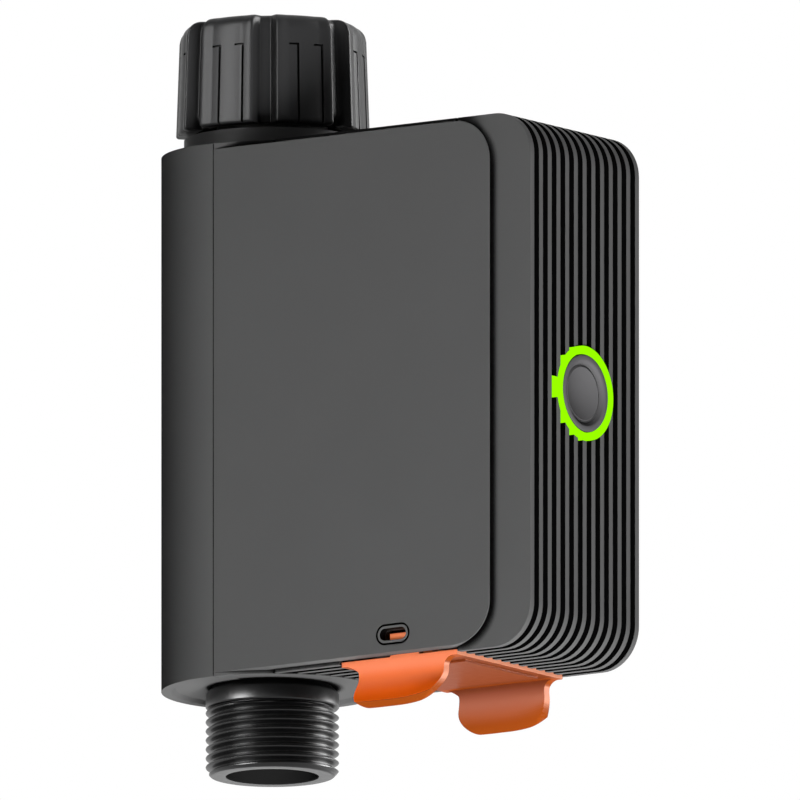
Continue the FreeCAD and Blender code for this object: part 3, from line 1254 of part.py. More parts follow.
def wing_outline():
    """Side view of a wing: hollow fillets at the top, round corners below."""
    f0, f1 = LATCH_F0 + WING_SETBACK, LATCH_F1 - WING_SETBACK
    flare = (WING_FLARE_RADIUS + WING_THICK) * math.sin(math.radians(WING_FLARE_ANGLE))
    lip = LATCH_TOP - WING_STRAIGHT - flare
    x0, x1 = LATCH_HALF_WIDTH - 2 * WING_THICK, LATCH_HALF_WIDTH + WING_FLARE_RADIUS
    plate = block(x0, x1, f0, f1, lip, LATCH_TOP)
    plate = fillet_where(plate, WING_FRONT_CORNER, "x", lambda c: abs(c.y + f1) < 1e-6 and c.z < lip + 1e-6)
    plate = fillet_where(plate, WING_REAR_CORNER, "x", lambda c: abs(c.y + f0) < 1e-6 and c.z < lip + 1e-6)
    under = LATCH_TOP - LATCH_PLATE
    pieces = []
    for edge, away in ((f0, -1), (f1, 1)):
        far = edge + away * WING_FILLET
        corner = block(x0, x1, min(edge, far), max(edge, far), under - WING_FILLET, LATCH_TOP)
        bite = Part.makeCylinder(WING_FILLET, x1 - x0 + 2, vec(x0 - 1, far, under - WING_FILLET),
                                 FreeCAD.Vector(1, 0, 0))
        pieces.append(corner.cut(bite))
    return plate.fuse(pieces)


def latch_wing():
    strip = wing_section().extrude(FreeCAD.Vector(0, -LATCH_F1 - BEYOND, 0))
    return strip.common(wing_outline())


def release_latch():
    """Latch plate under the casing with two finger wings, prongs, tabs and snap posts."""
    under = LATCH_TOP - LATCH_PLATE
    plate = block(-LATCH_HALF_WIDTH, LATCH_HALF_WIDTH, LATCH_F0, LATCH_F1, under, LATCH_TOP)
    pad = block(-LATCH_PAD_HALF_WIDTH, LATCH_PAD_HALF_WIDTH, LATCH_F0 + LATCH_PAD_INSET,
                LATCH_F1 - LATCH_PAD_INSET, under - LATCH_PAD_THICK, under + BEYOND)
    tab = block(LATCH_HALF_WIDTH - TAB_THICK, LATCH_HALF_WIDTH, TAB_F0, TAB_F1, under, LATCH_TOP + TAB_RISE)
    prong = block(RUNNER_X - PRONG_HALF_WIDTH, RUNNER_X + PRONG_HALF_WIDTH, PRONG_F0, PRONG_F1,
                  under, RUNNER_BOTTOM - SLIDE_GAP - SEAT_GAP)
    post = upright(LATCH_POST_RADIUS, under, FLOOR + SEAT_GAP + BEYOND / 2, LATCH_POST_X, WINDOW_F)
    head_z = FLOOR + SEAT_GAP
    head = upright(LATCH_HEAD_RADIUS, head_z, head_z + LATCH_HEAD_HEIGHT, LATCH_POST_X, WINDOW_F)
    solids = [pad]
    for piece in (latch_wing(), tab, prong, post, head):
        solids += both_sides(piece)
    return plate.fuse(solids).removeSplitter()


def main():
    os.makedirs("parts", exist_ok=True)
    makers = [rear_cover, housing_body, casing_seals, window_bezels, outlet_spout, spout_seal, valve_body,
              inlet_nut, nut_retaining_ring, hose_washer, inlet_filter, valve_ball, ball_seats, valve_stem,
              stem_seals, output_gear, reduction_gear, drive_pinion, drive_motor, gear_axle, gear_case,
              gear_case_cover, gear_case_screws, turbine_rotor, turbine_axle, turbine_carriers, flow_sensor,
              contact_block, contact_pads, module_contacts, module_shell, module_seal, module_back,
              module_screws, light_ring, power_button, button_switch, switch_plunger, control_board,
              board_screws, radio_module, status_leds, battery_holder, battery_contacts, release_latch]
    for maker in makers:
        save(maker.__name__, maker())
    for number, place in enumerate(cell_places(), 1):
        save("battery_cell_" + str(number), battery_cell(*place))


main()
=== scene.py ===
"""Smart irrigation timer: looks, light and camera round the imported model."""

import math

import bmesh
import bpy
import numpy as np
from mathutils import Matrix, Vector

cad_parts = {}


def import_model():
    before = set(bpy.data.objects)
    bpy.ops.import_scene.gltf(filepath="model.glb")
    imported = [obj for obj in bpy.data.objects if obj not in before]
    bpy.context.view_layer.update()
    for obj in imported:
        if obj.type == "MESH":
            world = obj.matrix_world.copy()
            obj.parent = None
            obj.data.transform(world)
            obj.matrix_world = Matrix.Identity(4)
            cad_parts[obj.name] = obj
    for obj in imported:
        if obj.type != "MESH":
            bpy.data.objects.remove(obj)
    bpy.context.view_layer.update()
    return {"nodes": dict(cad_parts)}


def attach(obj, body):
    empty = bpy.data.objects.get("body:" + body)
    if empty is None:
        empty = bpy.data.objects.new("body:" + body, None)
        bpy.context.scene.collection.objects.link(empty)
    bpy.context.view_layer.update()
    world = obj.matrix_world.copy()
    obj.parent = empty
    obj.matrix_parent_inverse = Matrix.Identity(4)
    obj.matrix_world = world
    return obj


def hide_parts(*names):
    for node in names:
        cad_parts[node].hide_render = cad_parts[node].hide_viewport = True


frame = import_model()

MM = 0.001
TURN = 2 * math.pi

# Millimetres, in the frame's own axes. The origin is in the mouth of the inlet nut, and a depth f
# counts forwards from there, along -Y.
BUTTON_Z = -80.85
BUTTON_FACE = 75.8

# Distance from the middle plane within which the walls between the ribs are painted black: painted shade
INNER_RIBS = 18.0

# Height of the top of the latch's plate, and the distance from the middle plane where a wing begins
LATCH_TOP = -133.0
WING_SIDE = 15.5

# The nut's foot, the radius at which widths round it are measured, and the height where its strips end
NUT_BOTTOM = -21.9
NUT_RADIUS = 19.0
NUT_LOBES = 7
FIRST_GROOVE = math.radians(210.2)
STRIP_TOP = -6.2

# The outlet's end and the radius of its bore, and the G3/4 thread that it shares with the nut
OUTLET_END = -150.5
OUTLET_BORE = 8.9
THREAD_PITCH = 1.814
THREAD_CREST = 13.22


def put(name, data):
    """New object that shows a mesh, a camera or a lamp."""
    made = bpy.data.objects.new(name, data)
    bpy.context.scene.collection.objects.link(made)
    return made


def aim(made, target, away, distance):
    """Set a camera or lamp off from a target, in a direction away from it, and turn it towards it."""
    made.location = Vector(target) + away * distance
    made.rotation_euler = away.to_track_quat("Z", "Y").to_euler()


def camera():
    """Camera at the photograph's angle, looking up a little from the left of the front."""
    azimuth, elevation, distance = math.radians(-55.0), math.radians(-9.7), 0.9
    middle_of_picture = (0.0145, -0.0207, -0.0748)
    away = Vector((math.sin(azimuth) * math.cos(elevation), -math.cos(azimuth) * math.cos(elevation),
                   math.sin(elevation)))
    data = bpy.data.cameras.new("camera")
    data.type = "ORTHO"
    data.ortho_scale = 0.1584
    data.clip_end = 20.0
    made = put("camera", data)
    aim(made, middle_of_picture, away, distance)
    bpy.context.scene.camera = made


# Node helpers

def feed(tree, value, socket):
    """Give a socket a number, a colour or another node's output."""
    if isinstance(value, bpy.types.NodeSocket):
        tree.links.new(value, socket)
    elif isinstance(value, tuple):
        socket.default_value = (*value, 1)
    else:
        socket.default_value = value


def reading(tree, kind, axis):
    """One axis of the object's own coordinates (Object) or of its surface's facing (Normal)."""
    source = tree.nodes.new("ShaderNodeTexCoord")
    split = tree.nodes.new("ShaderNodeSeparateXYZ")
    tree.links.new(source.outputs[kind], split.inputs["Vector"])
    return split.outputs[axis]


def sum_up(tree, kind, first, second=0.0):
    """Output of a maths node for two values, each a number or another node's output."""
    made = tree.nodes.new("ShaderNodeMath")
    made.operation = kind
    feed(tree, first, made.inputs[0])
    feed(tree, second, made.inputs[1])
    return made.outputs["Value"]


def rise(tree, value, low, high):
    """Smooth step of a value, 0 below low and 1 above high; it falls where low is the larger."""
    made = tree.nodes.new("ShaderNodeMapRange")
    made.interpolation_type = "SMOOTHSTEP"
    made.inputs["From Min"].default_value = low
    made.inputs["From Max"].default_value = high
    tree.links.new(value, made.inputs["Value"])
    return made.outputs["Result"]


def noise(tree, scale, detail=4.0):
    """Noise in the object's own coordinates, scale in waves per metre."""
    made = tree.nodes.new("ShaderNodeTexNoise")
    made.inputs["Scale"].default_value = scale
    made.inputs["Detail"].default_value = detail
    place = tree.nodes.new("ShaderNodeTexCoord")
    tree.links.new(place.outputs["Object"], made.inputs["Vector"])
    return made.outputs["Fac"]


def spread(tree, value, low, high):
    """Noise, which lies mostly between 0.3 and 0.7, spread between low and high."""
    made = tree.nodes.new("ShaderNodeMapRange")
    made.inputs["From Min"].default_value = 0.3
    made.inputs["From Max"].default_value = 0.7
    made.inputs["To Min"].default_value = low
    made.inputs["To Max"].default_value = high
    tree.links.new(value, made.inputs["Value"])
    return made.outputs["Result"]


def openness(tree, reach, low, high):
    """Factor, 0 deep in a groove or slot to 1 on an open face within reach millimetres, for painted shade.
    """
    made = tree.nodes.new("ShaderNodeAmbientOcclusion")
    made.samples = 8
    made.inputs["Distance"].default_value = reach * MM
    return rise(tree, made.outputs["AO"], low, high)


def recolour(material, colour, factor):
    """Show another colour, fixed or from a node, where the factor falls to 0."""
    tree = material.node_tree
    socket = tree.nodes["Principled BSDF"].inputs["Base Color"]
    mix = tree.nodes.new("ShaderNodeMix")
    mix.data_type = "RGBA"
    feed(tree, colour, mix.inputs["A"])
    tree.links.new(socket.links[0].from_socket, mix.inputs["B"])
    feed(tree, factor, mix.inputs["Factor"])
    tree.links.new(mix.outputs["Result"], socket)


def paint_shade_black(material, factor):
    """Paint shade: turn the material black where the factor falls to 0."""
    recolour(material, (0.003, 0.003, 0.003), factor)


# Materials

def moulded(name, colour, roughness, grain=1500.0, depth=0.02, edge=0.25, specular=0.5, metallic=0.0):
    """Moulded plastic: slightly uneven colour, fine texture and softly broken edges.

    The texture is height = depth x noise(grain), and edges read as rounded to a radius of
    edge millimetres.
    """
    made = bpy.data.materials.new(name)
    made.use_nodes = True
    tree = made.node_tree
    shader = tree.nodes["Principled BSDF"]
    shader.inputs["Specular IOR Level"].default_value = specular
    shader.inputs["Metallic"].default_value = metallic
    mix = tree.nodes.new("ShaderNodeMix")
    mix.data_type = "RGBA"
    mix.inputs["A"].default_value = (*[c * 0.96 for c in colour], 1)
    mix.inputs["B"].default_value = (*[min(1.0, c * 1.04) for c in colour], 1)
    tree.links.new(noise(tree, 60.0), mix.inputs["Factor"])
    tree.links.new(mix.outputs["Result"], shader.inputs["Base Color"])
    rough = spread(tree, noise(tree, grain * 0.4), roughness * 0.93, min(1.0, roughness * 1.07))
    tree.links.new(rough, shader.inputs["Roughness"])
    bump = tree.nodes.new("ShaderNodeBump")
    bump.inputs["Strength"].default_value = 0.5
    bump.inputs["Distance"].default_value = depth * MM
    tree.links.new(noise(tree, grain, 2.0), bump.inputs["Height"])
    if edge:
        bevel = tree.nodes.new("ShaderNodeBevel")
        bevel.samples = 4
        bevel.inputs["Radius"].default_value = edge * MM
        tree.links.new(bevel.outputs["Normal"], bump.inputs["Normal"])
    tree.links.new(bump.outputs["Normal"], shader.inputs["Normal"])
    return made


def brushed(name, colour, roughness):
    """Bare metal with a fine grain."""
    return moulded(name, colour, roughness, grain=900.0, depth=0.01, edge=0.1, metallic=1.0)


def off_rib_walls(tree):
    """Painted shade mask: falls to 0 on the walls between the ribs, facing along X inside INNER_RIBS."""
    sideways = sum_up(tree, "ABSOLUTE", reading(tree, "Normal", "X"))
    from_middle = sum_up(tree, "ABSOLUTE", reading(tree, "Object", "X"))
    crest_or_floor = rise(tree, sideways, 0.6, 0.5)
    outer_side = rise(tree, from_middle, (INNER_RIBS - 0.1) * MM, INNER_RIBS * MM)
    return sum_up(tree, "MAXIMUM", crest_or_floor, outer_side)


def casing_grey(name, reach, low, high, ribbed):
    """Grey of the casing, with painted shade: black deep in its seams and slots and, if ribbed, between
    the ribs.
    """
    made = moulded(name, (0.133, 0.133, 0.133), 0.55, grain=1700.0, depth=0.012, edge=0.22, specular=0.0)
    tree = made.node_tree
    grey_share = openness(tree, reach, low, high)
    if ribbed:
        grey_share = sum_up(tree, "MULTIPLY", grey_share, off_rib_walls(tree))
    # Painted shade: black in the seams, slots and rib gaps
    paint_shade_black(made, grey_share)
    return made


def bezel_grey():
    """Grey of the window frames, with painted shade: black where they don't face sideways."""
    made = moulded("bezel_grey", (0.15, 0.15, 0.15), 0.55, grain=1700.0, depth=0.012, edge=0.1,
                   specular=0.01)
    tree = made.node_tree
    # Painted shade on the faces that don't face sideways
    paint_shade_black(made, rise(tree, sum_up(tree, "ABSOLUTE", reading(tree, "Normal", "X")), 0.5, 0.8))
    return made


def neck_grey():
    """Lighter grey of the valve body, whose boss shows under the nut."""
    return moulded("neck_grey", (0.2, 0.2, 0.2), 0.5, grain=1700.0, depth=0.012, edge=0.2, specular=0.02)


def ring_green():
    """Light guide that glows an even green."""
    green = (0.32, 1.0, 0.0)
    made = moulded("ring_green", [c * 0.02 for c in green], 0.5, grain=800.0, depth=0.01, edge=0.0,
                   specular=0.0)
    shader = made.node_tree.nodes["Principled BSDF"]
    shader.inputs["Emission Color"].default_value = (*green, 1)
    shader.inputs["Emission Strength"].default_value = 1.0
    return made


def button_grey():
    """Grey of the button, with painted shade in its groove and beside the ring."""
    made = moulded("button_grey", (0.138, 0.136, 0.14), 0.7, grain=1700.0, depth=0.01, edge=0.1,
                   specular=0.0)
    # Painted shade in the groove and beside the ring
    recolour(made, (0.03, 0.03, 0.03), openness(made.node_tree, reach=1.5, low=0.5, high=0.9))
    return made


def by_height(tree, stops):
    """Colour that changes smoothly with height; stops are (millimetres above LATCH_TOP, colour)."""
    low, high = stops[0][0], stops[-1][0]
    place = tree.nodes.new("ShaderNodeMapRange")
    place.inputs["From Min"].default_value = (LATCH_TOP + low) * MM
    place.inputs["From Max"].default_value = (LATCH_TOP + high) * MM
    tree.links.new(reading(tree, "Object", "Z"), place.inputs["Value"])
    ramp = tree.nodes.new("ShaderNodeValToRGB")
    ramp.color_ramp.interpolation = "EASE"
    for height, _ in stops[1:-1]:
        ramp.color_ramp.elements.new((height - low) / (high - low))
    for element, (_, colour) in zip(ramp.color_ramp.elements, stops):
        element.color = (*colour, 1)
    tree.links.new(place.outputs["Result"], ramp.inputs["Fac"])
    return ramp.outputs["Color"]


def latch_regions(tree):
    """Painted light and shade masks: 1 on outer faces of wings and tabs, on the ends, and under the lips.
    """
    across, height = reading(tree, "Object", "X"), reading(tree, "Object", "Z")
    wing = rise(tree, sum_up(tree, "ABSOLUTE", across), (WING_SIDE - 0.5) * MM, WING_SIDE * MM)
    tabs = rise(tree, height, (LATCH_TOP + 0.1) * MM, (LATCH_TOP + 0.5) * MM)
    plate = rise(tree, height, (LATCH_TOP - 1.1) * MM, (LATCH_TOP - 0.98) * MM)
    outward = sum_up(tree, "MULTIPLY", reading(tree, "Normal", "X"), sum_up(tree, "SIGN", across))
    outside = sum_up(tree, "MULTIPLY", rise(tree, outward, 0.1, 0.5), sum_up(tree, "MAXIMUM", wing, tabs))
    facing_ends = rise(tree, sum_up(tree, "ABSOLUTE", reading(tree, "Normal", "Y")), 0.4, 0.8)
    ends = sum_up(tree, "MULTIPLY", facing_ends, sum_up(tree, "MAXIMUM", wing, plate))
    lip = sum_up(tree, "MULTIPLY", rise(tree, reading(tree, "Normal", "Z"), -0.3, -0.6), wing)
    return outside, ends, lip


def latch_orange():
    """Orange; painted sheen on its ends, painted shade in the wings and under the lips, painted glow
    outside.
    """
    # Painted light and shade: the outer faces' colour goes lighter and darker with height
    outer = [(-10.0, (0.5, 0.09, 0.006)), (-8.9, (0.86, 0.12, 0.004)), (-7.0, (0.86, 0.12, 0.004)),
             (-4.0, (0.9, 0.17, 0.03)), (-1.4, (0.95, 0.25, 0.1))]
    # Painted shade: deeper colour inside the wings, changing with height
    inner = [(-10.0, (0.3, 0.045, 0.004)), (-7.0, (0.38, 0.09, 0.03)), (-4.0, (0.42, 0.125, 0.065)),
             (-1.0, (0.2, 0.042, 0.012))]
    # Painted glow: a faint emission on the outer faces by height, brightest low on the wings and on the
    # tabs
    glow = [(-10.0, (0.0, 0.0, 0.0)), (-8.9, (0.45, 0.06, 0.0)), (-7.3, (0.42, 0.055, 0.0)),
            (-4.5, (0.16, 0.02, 0.0)), (-1.4, (0.22, 0.04, 0.02)), (0.2, (0.1, 0.02, 0.01)),
            (3.3, (0.15, 0.03, 0.0)), (4.2, (0.75, 0.2, 0.08)), (5.0, (0.3, 0.07, 0.04))]
    made = moulded("latch_orange", (0.88, 0.17, 0.02), 0.42, depth=0.008, specular=0.02)
    tree = made.node_tree
    outside, ends, lip = latch_regions(tree)
    above_lip = sum_up(tree, "SUBTRACT", 1.0, lip)
    # Painted light and shade by height outside; painted shade inside the wings and under the plate
    recolour(made, by_height(tree, outer), 0.0)
    recolour(made, by_height(tree, inner), sum_up(tree, "MAXIMUM", outside, ends))
    # Painted sheen: the ends are pale
    recolour(made, (0.78, 0.29, 0.165), sum_up(tree, "SUBTRACT", 1.0, ends))
    # Painted shade under the lips
    recolour(made, (0.32, 0.06, 0.006), above_lip)
    shader = tree.nodes["Principled BSDF"]
    # Painted glow outside, above the lips
    tree.links.new(by_height(tree, glow), shader.inputs["Emission Color"])
    tree.links.new(sum_up(tree, "MULTIPLY", outside, above_lip), shader.inputs["Emission Strength"])
    return made


def fitting_black():
    """Shiny black of the hose outlet."""
    return moulded("black_fitting", (0.0012, 0.0012, 0.0013), 0.33, grain=1800.0, depth=0.004, edge=0.0,
                   specular=0.35)


def end_painted_reflection():
    """Grey of the outlet's flat end, a painted reflection on the shiny black fitting."""
    return moulded("end_painted_reflection", (0.14, 0.14, 0.14), 0.6, grain=1700.0, depth=0.01, edge=0.0, specular=0.05)


def bore_black():
    """Matt black inside the outlet."""
    return moulded("bore_black", (0.014, 0.014, 0.014), 0.8, grain=1700.0, depth=0.01, edge=0.0,
                   specular=0.0)


def nut_black():
    """Shiny black of the nut, with painted shade in the grooves and at the foot of each step."""
    made = moulded("black_nut", (0.04, 0.04, 0.041), 0.36, grain=1600.0, depth=0.006, edge=0.0,
                   specular=0.04)
    # Painted shade in the grooves and at the foot of each step
    paint_shade_black(made, openness(made.node_tree, reach=3.0, low=0.5, high=0.95))
    return made


def dress(material, *names):
    """Give CAD nodes a material in place of their own."""
    for name in names:
        mesh = frame["nodes"][name].data
        mesh.materials.clear()
        mesh.materials.append(material)


def dress_outside():
    """Materials of the CAD nodes that show."""
    dress(casing_grey("casing_grey", reach=2.4, low=0.5, high=0.85, ribbed=True), "housing_body",
          "module_shell")
    dress(bezel_grey(), "window_bezels")
    dress(casing_grey("cover_grey", reach=1.5, low=0.3, high=0.6, ribbed=False), "rear_cover")
    dress(neck_grey(), "valve_body")
    dress(ring_green(), "light_ring")


def dress_inside():
    """Materials of the CAD nodes that are held inside."""
    dress(moulded("inner_grey", (0.18, 0.18, 0.18), 0.6), "module_back", "battery_holder", "gear_case",
          "gear_case_cover", "contact_block", "turbine_carriers")
    dress(moulded("gear_white", (0.75, 0.74, 0.70), 0.45), "output_gear", "reduction_gear", "drive_pinion",
          "turbine_rotor", "switch_plunger", "inlet_filter")
    dress(moulded("seal_black", (0.02, 0.02, 0.02), 0.7), "casing_seals", "spout_seal", "stem_seals",
          "module_seal", "hose_washer")
    dress(moulded("seat_white", (0.85, 0.85, 0.83), 0.35), "ball_seats")
    dress(brushed("steel", (0.55, 0.55, 0.56), 0.3), "nut_retaining_ring", "valve_stem", "gear_axle",
          "gear_case_screws", "turbine_axle", "module_screws", "board_screws", "battery_contacts",
          "button_switch", "drive_motor", "radio_module")
    dress(brushed("ball_chrome", (0.7, 0.7, 0.72), 0.12), "valve_ball")
    dress(brushed("gold_contact", (0.75, 0.55, 0.2), 0.25), "contact_pads", "module_contacts")
    dress(moulded("board_green", (0.02, 0.16, 0.06), 0.4), "control_board", "flow_sensor")
    dress(moulded("led_white", (0.85, 0.85, 0.8), 0.3), "status_leds")
    dress(moulded("cell_sleeve", (0.25, 0.26, 0.28), 0.35, metallic=0.6), "battery_cell_1",
          "battery_cell_2", "battery_cell_3", "battery_cell_4")


# Mesh helpers

def smooth_step(low, high, value):
    """t^2 (3 - 2 t), where t is the share of the way from low to high, held between 0 and 1."""
    t = np.clip((value - low) / (high - low), 0, 1)
    return t * t * (3 - 2 * t)


def shade(mesh, sharp):
    """Smooth shading, broken at edges sharper than an angle in degrees."""
    mesh.polygons.foreach_set("use_smooth", [True] * len(mesh.polygons))
    mesh.set_sharp_from_angle(angle=math.radians(sharp))


def grid_faces(rows, columns, wrap_rows, wrap_columns):
    """Quads that join each point of a grid to its next row and column."""
    i, j = np.meshgrid(np.arange(rows if wrap_rows else rows - 1),
                       np.arange(columns if wrap_columns else columns - 1), indexing="ij")
    i2, j2 = (i + 1) % rows, (j + 1) % columns
    quads = [i * columns + j, i * columns + j2, i2 * columns + j2, i2 * columns + j]
    return np.stack(quads, -1).reshape(-1, 4)


def skin(name, grid, wrap_rows=True, wrap_columns=True, sharp=35.0):
    """Closed smooth mesh through an array of points, rows x columns x 3, in millimetres."""
    rows, columns = grid.shape[:2]
    mesh = bpy.data.meshes.new(name)
    faces = grid_faces(rows, columns, wrap_rows, wrap_columns)
    mesh.from_pydata((grid.reshape(-1, 3) * MM).tolist(), [], faces.tolist())
    work = bmesh.new()
    work.from_mesh(mesh)
    bmesh.ops.remove_doubles(work, verts=work.verts, dist=1e-7)
    bmesh.ops.dissolve_degenerate(work, edges=work.edges, dist=1e-7)
    bmesh.ops.recalc_face_normals(work, faces=work.faces)
    work.to_mesh(mesh)
    work.free()
    shade(mesh, sharp)
    return put(name, mesh)


def round_about_axis(radius, height, angles):
    """Points (radius cos a, radius sin a, height) for arrays that broadcast over the angles."""
    radius, height, angles = np.broadcast_arrays(radius, height, angles)
    return np.stack([radius * np.cos(angles), radius * np.sin(angles), height], -1)


def round_about_button(radius, depth, angles):
    """Points (radius cos a, -depth, height of the button + radius sin a)."""
    radius, depth, angles = np.broadcast_arrays(radius, depth, angles)
    return np.stack([radius * np.cos(angles), -depth, BUTTON_Z + radius * np.sin(angles)], -1)


def rings(profile, angles, about=round_about_axis):
    """A ring of points for each (radius, height) of a profile, or (radius, depth) about the button."""
    radius, place = np.array(profile).T[:, :, None]
    return about(radius, place, angles)


# Release latch

def bow(points):
    """Points of the latch, in millimetres, with the lips of the wings bowed up towards their ends.

    A point at depth f rises by 0.0148 (f - 44)^2 in front of f = 44 and by 0.006 (40 - f)^2 behind
    f = 40, in full at the lip and not at all at the plate. The rear side of a wing moves 1 mm in
    near its top, and less towards the plate and the lip.
    """
    front_bend, rear_bend = 44.0, 40.0
    x, f, z = points[:, 0], -points[:, 1], points[:, 2]
    below = LATCH_TOP - z
    wing = np.abs(x) > WING_SIDE
    lift = 0.0148 * np.maximum(f - front_bend, 0) ** 2 + 0.006 * np.maximum(rear_bend - f, 0) ** 2
    lift = lift * wing * smooth_step(1.0, 9.0, below)
    inward = wing * smooth_step(1.1, 2.6, below) * smooth_step(8.5, 3.5, below)
    inward = inward * (1 - smooth_step(33.0, 38.0, f))
    return np.stack([x, -(f + inward), z + lift], -1)


def cut(work, normal, places):
    """Cut a mesh along planes square to a normal, at places in millimetres along it."""
    for place in places:
        bmesh.ops.bisect_plane(work, geom=work.verts[:] + work.edges[:] + work.faces[:], dist=1e-7,
                               plane_co=[share * place * MM for share in normal], plane_no=normal)


def latch():
    """Latch plate and wings, cut finely enough to bow the lips."""
    mesh = frame["nodes"]["release_latch"].data.copy()
    made = put("finger_latch", mesh)
    work = bmesh.new()
    work.from_mesh(mesh)
    bmesh.ops.remove_doubles(work, verts=work.verts, dist=1e-6)
    wing_rear, wing_front = 32.9, 54.1
    cut(work, (0, 1, 0), -np.linspace(wing_rear, wing_front, 28))
    cut(work, (0, 0, 1), np.linspace(LATCH_TOP - 1.3, LATCH_TOP - 3.6, 5))
    cut(work, (0, 0, 1), np.linspace(LATCH_TOP - 4.2, LATCH_TOP - 8.4, 6))
    bmesh.ops.triangulate(work, faces=work.faces)
    work.to_mesh(mesh)
    work.free()
    points = np.empty(len(mesh.vertices) * 3)
    mesh.vertices.foreach_get("co", points)
    mesh.vertices.foreach_set("co", (bow(points.reshape(-1, 3) / MM) * MM).ravel())
    mesh.update()
    shade(mesh, 25.0)
    mesh.materials.clear()
    mesh.materials.append(latch_orange())
    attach(made, "latch")
    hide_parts("release_latch")


# Button and its light ring

def button():
    """Button with a flat rim, a groove inside it, and a hollow face of depth 1.1 (1 - (r / 5.3)^2) mm."""
    angles = np.linspace(0, TURN, 128, endpoint=False)
    hollow_radius, hollow_edge = 5.3, BUTTON_FACE - 0.7
    flange = [(0.0, 71.0), (2.4, 71.0), (2.4, 71.3), (8.6, 71.3), (8.6, 72.1), (7.8, 72.1)]
    rim_and_groove = np.array([(7.8, -0.3), (7.7, -0.1), (7.5, 0.0), (6.75, 0.0), (6.55, -0.06),
                               (6.35, -0.3), (6.0, -0.85), (5.8, -0.95), (5.55, -0.85)]) + (0, BUTTON_FACE)
    share = np.arange(12, -1, -1) / 12
    hollow = np.stack([hollow_radius * share, hollow_edge - 1.1 * (1 - share ** 2)], -1)
    profile = np.concatenate([flange, rim_and_groove, hollow])
    made = skin("round_button", rings(profile, angles, round_about_button), wrap_rows=False, sharp=40.0)
    made.data.materials.append(button_grey())
    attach(made, "button")
    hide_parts("power_button")


def ring_tab():
    """Tongue of the light ring that shows in the groove at its left.

    Its rows are the middle of the box's back, the corners of the back and of the front, and the
    middle of the front.
    """
    back, front = -74.0, -75.56
    corners = np.array([(-11.3, -2.1), (-9.2, -2.1), (-9.2, 2.0), (-11.3, 2.0)]) + (0, BUTTON_Z)
    middle = np.tile(corners.mean(0), (4, 1))
    rows = [(middle, back), (corners, back), (corners, front), (middle, front)]
    grid = np.array([np.insert(row, 1, y, axis=1) for row, y in rows])
    made = skin("ring_tongue", grid, wrap_rows=False)
    made.data.materials.append(frame["nodes"]["light_ring"].data.materials[0])
    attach(made, "module")


# Hose outlet

def thread(angles):
    """Rows of one screw thread: row k of 14 in each turn climbs with the angle by the pitch.

    Its height is low + pitch (k / 14 + a / 2 pi), and its radius the root plus a tooth of
    sin^2(pi k / 14). The tooth starts in the cone at the mouth, whose radius is 12.2 plus 0.9 times
    the height above the end, and dies away under the collar. A row ends a turn later where the row
    14 further on begins, so the seam closes.
    """
    steps, root = 14, 12.0
    low, high = OUTLET_END + 0.3, OUTLET_END + 13.5
    rows = np.arange(-steps - 1, math.ceil((high - low) / THREAD_PITCH * steps) + 1)[:, None]
    climb = low + THREAD_PITCH * (rows / steps + angles / TURN)
    z = np.clip(climb, low, high)
    tooth = np.sin(math.pi * rows / steps) ** 2 * (1 - smooth_step(high - 0.6, high, z))
    cone = 12.2 + (z - OUTLET_END) * 0.9
    radius = np.minimum(root + (THREAD_CREST - root) * tooth, cone)
    return round_about_axis(np.where(climb < low, cone, radius), z, angles)


def finish_outlet(mesh):
    """Shiny black outside, grey painted reflection on the flat end, matt black in the bore, by each face's
    middle.
    """
    # The flat end's grey is a painted reflection
    for material in (fitting_black(), end_painted_reflection(), bore_black()):
        mesh.materials.append(material)
    middles = np.empty(len(mesh.polygons) * 3)
    mesh.polygons.foreach_get("center", middles)
    x, y, z = middles.reshape(-1, 3).T
    in_bore = np.hypot(x, y) < (OUTLET_BORE + 0.3) * MM
    on_end = z < (OUTLET_END + 0.02) * MM
    mesh.polygons.foreach_set("material_index", np.where(in_bore, 2, on_end).tolist())


def outlet():
    """Threaded hose outlet with its collar and neck; the sleeve above stays inside the casing."""
    angles = np.linspace(0, TURN, 193)
    mouth = np.array([(OUTLET_BORE, 20.0), (OUTLET_BORE, 0.35), (9.02, 0.1), (9.25, 0.0), (12.0, 0.0),
                      (12.2, 0.06)]) + (0, OUTLET_END)
    collar_and_neck = np.array([(12.0, 13.55), (12.6, 13.6), (13.0, 13.65), (THREAD_CREST, 13.9),
                                (THREAD_CREST, 16.4), (13.1, 16.65), (12.3, 17.45), (12.0, 17.7),
                                (11.9, 18.0), (11.9, 21.8), (OUTLET_BORE, 21.8)]) + (0, OUTLET_END)
    grid = np.concatenate([rings(mouth, angles), thread(angles), rings(collar_and_neck, angles)])
    made = skin("hose_outlet", grid, wrap_columns=False, sharp=40.0)
    finish_outlet(made.data)
    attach(made, "casing")
    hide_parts("outlet_spout")


# Inlet nut

def from_groove(angles):
    """Width round the nut to the middle of the nearest groove, in millimetres."""
    lobe = TURN / NUT_LOBES
    return np.abs((angles - FIRST_GROOVE + lobe / 2) % lobe - lobe / 2) * NUT_RADIUS


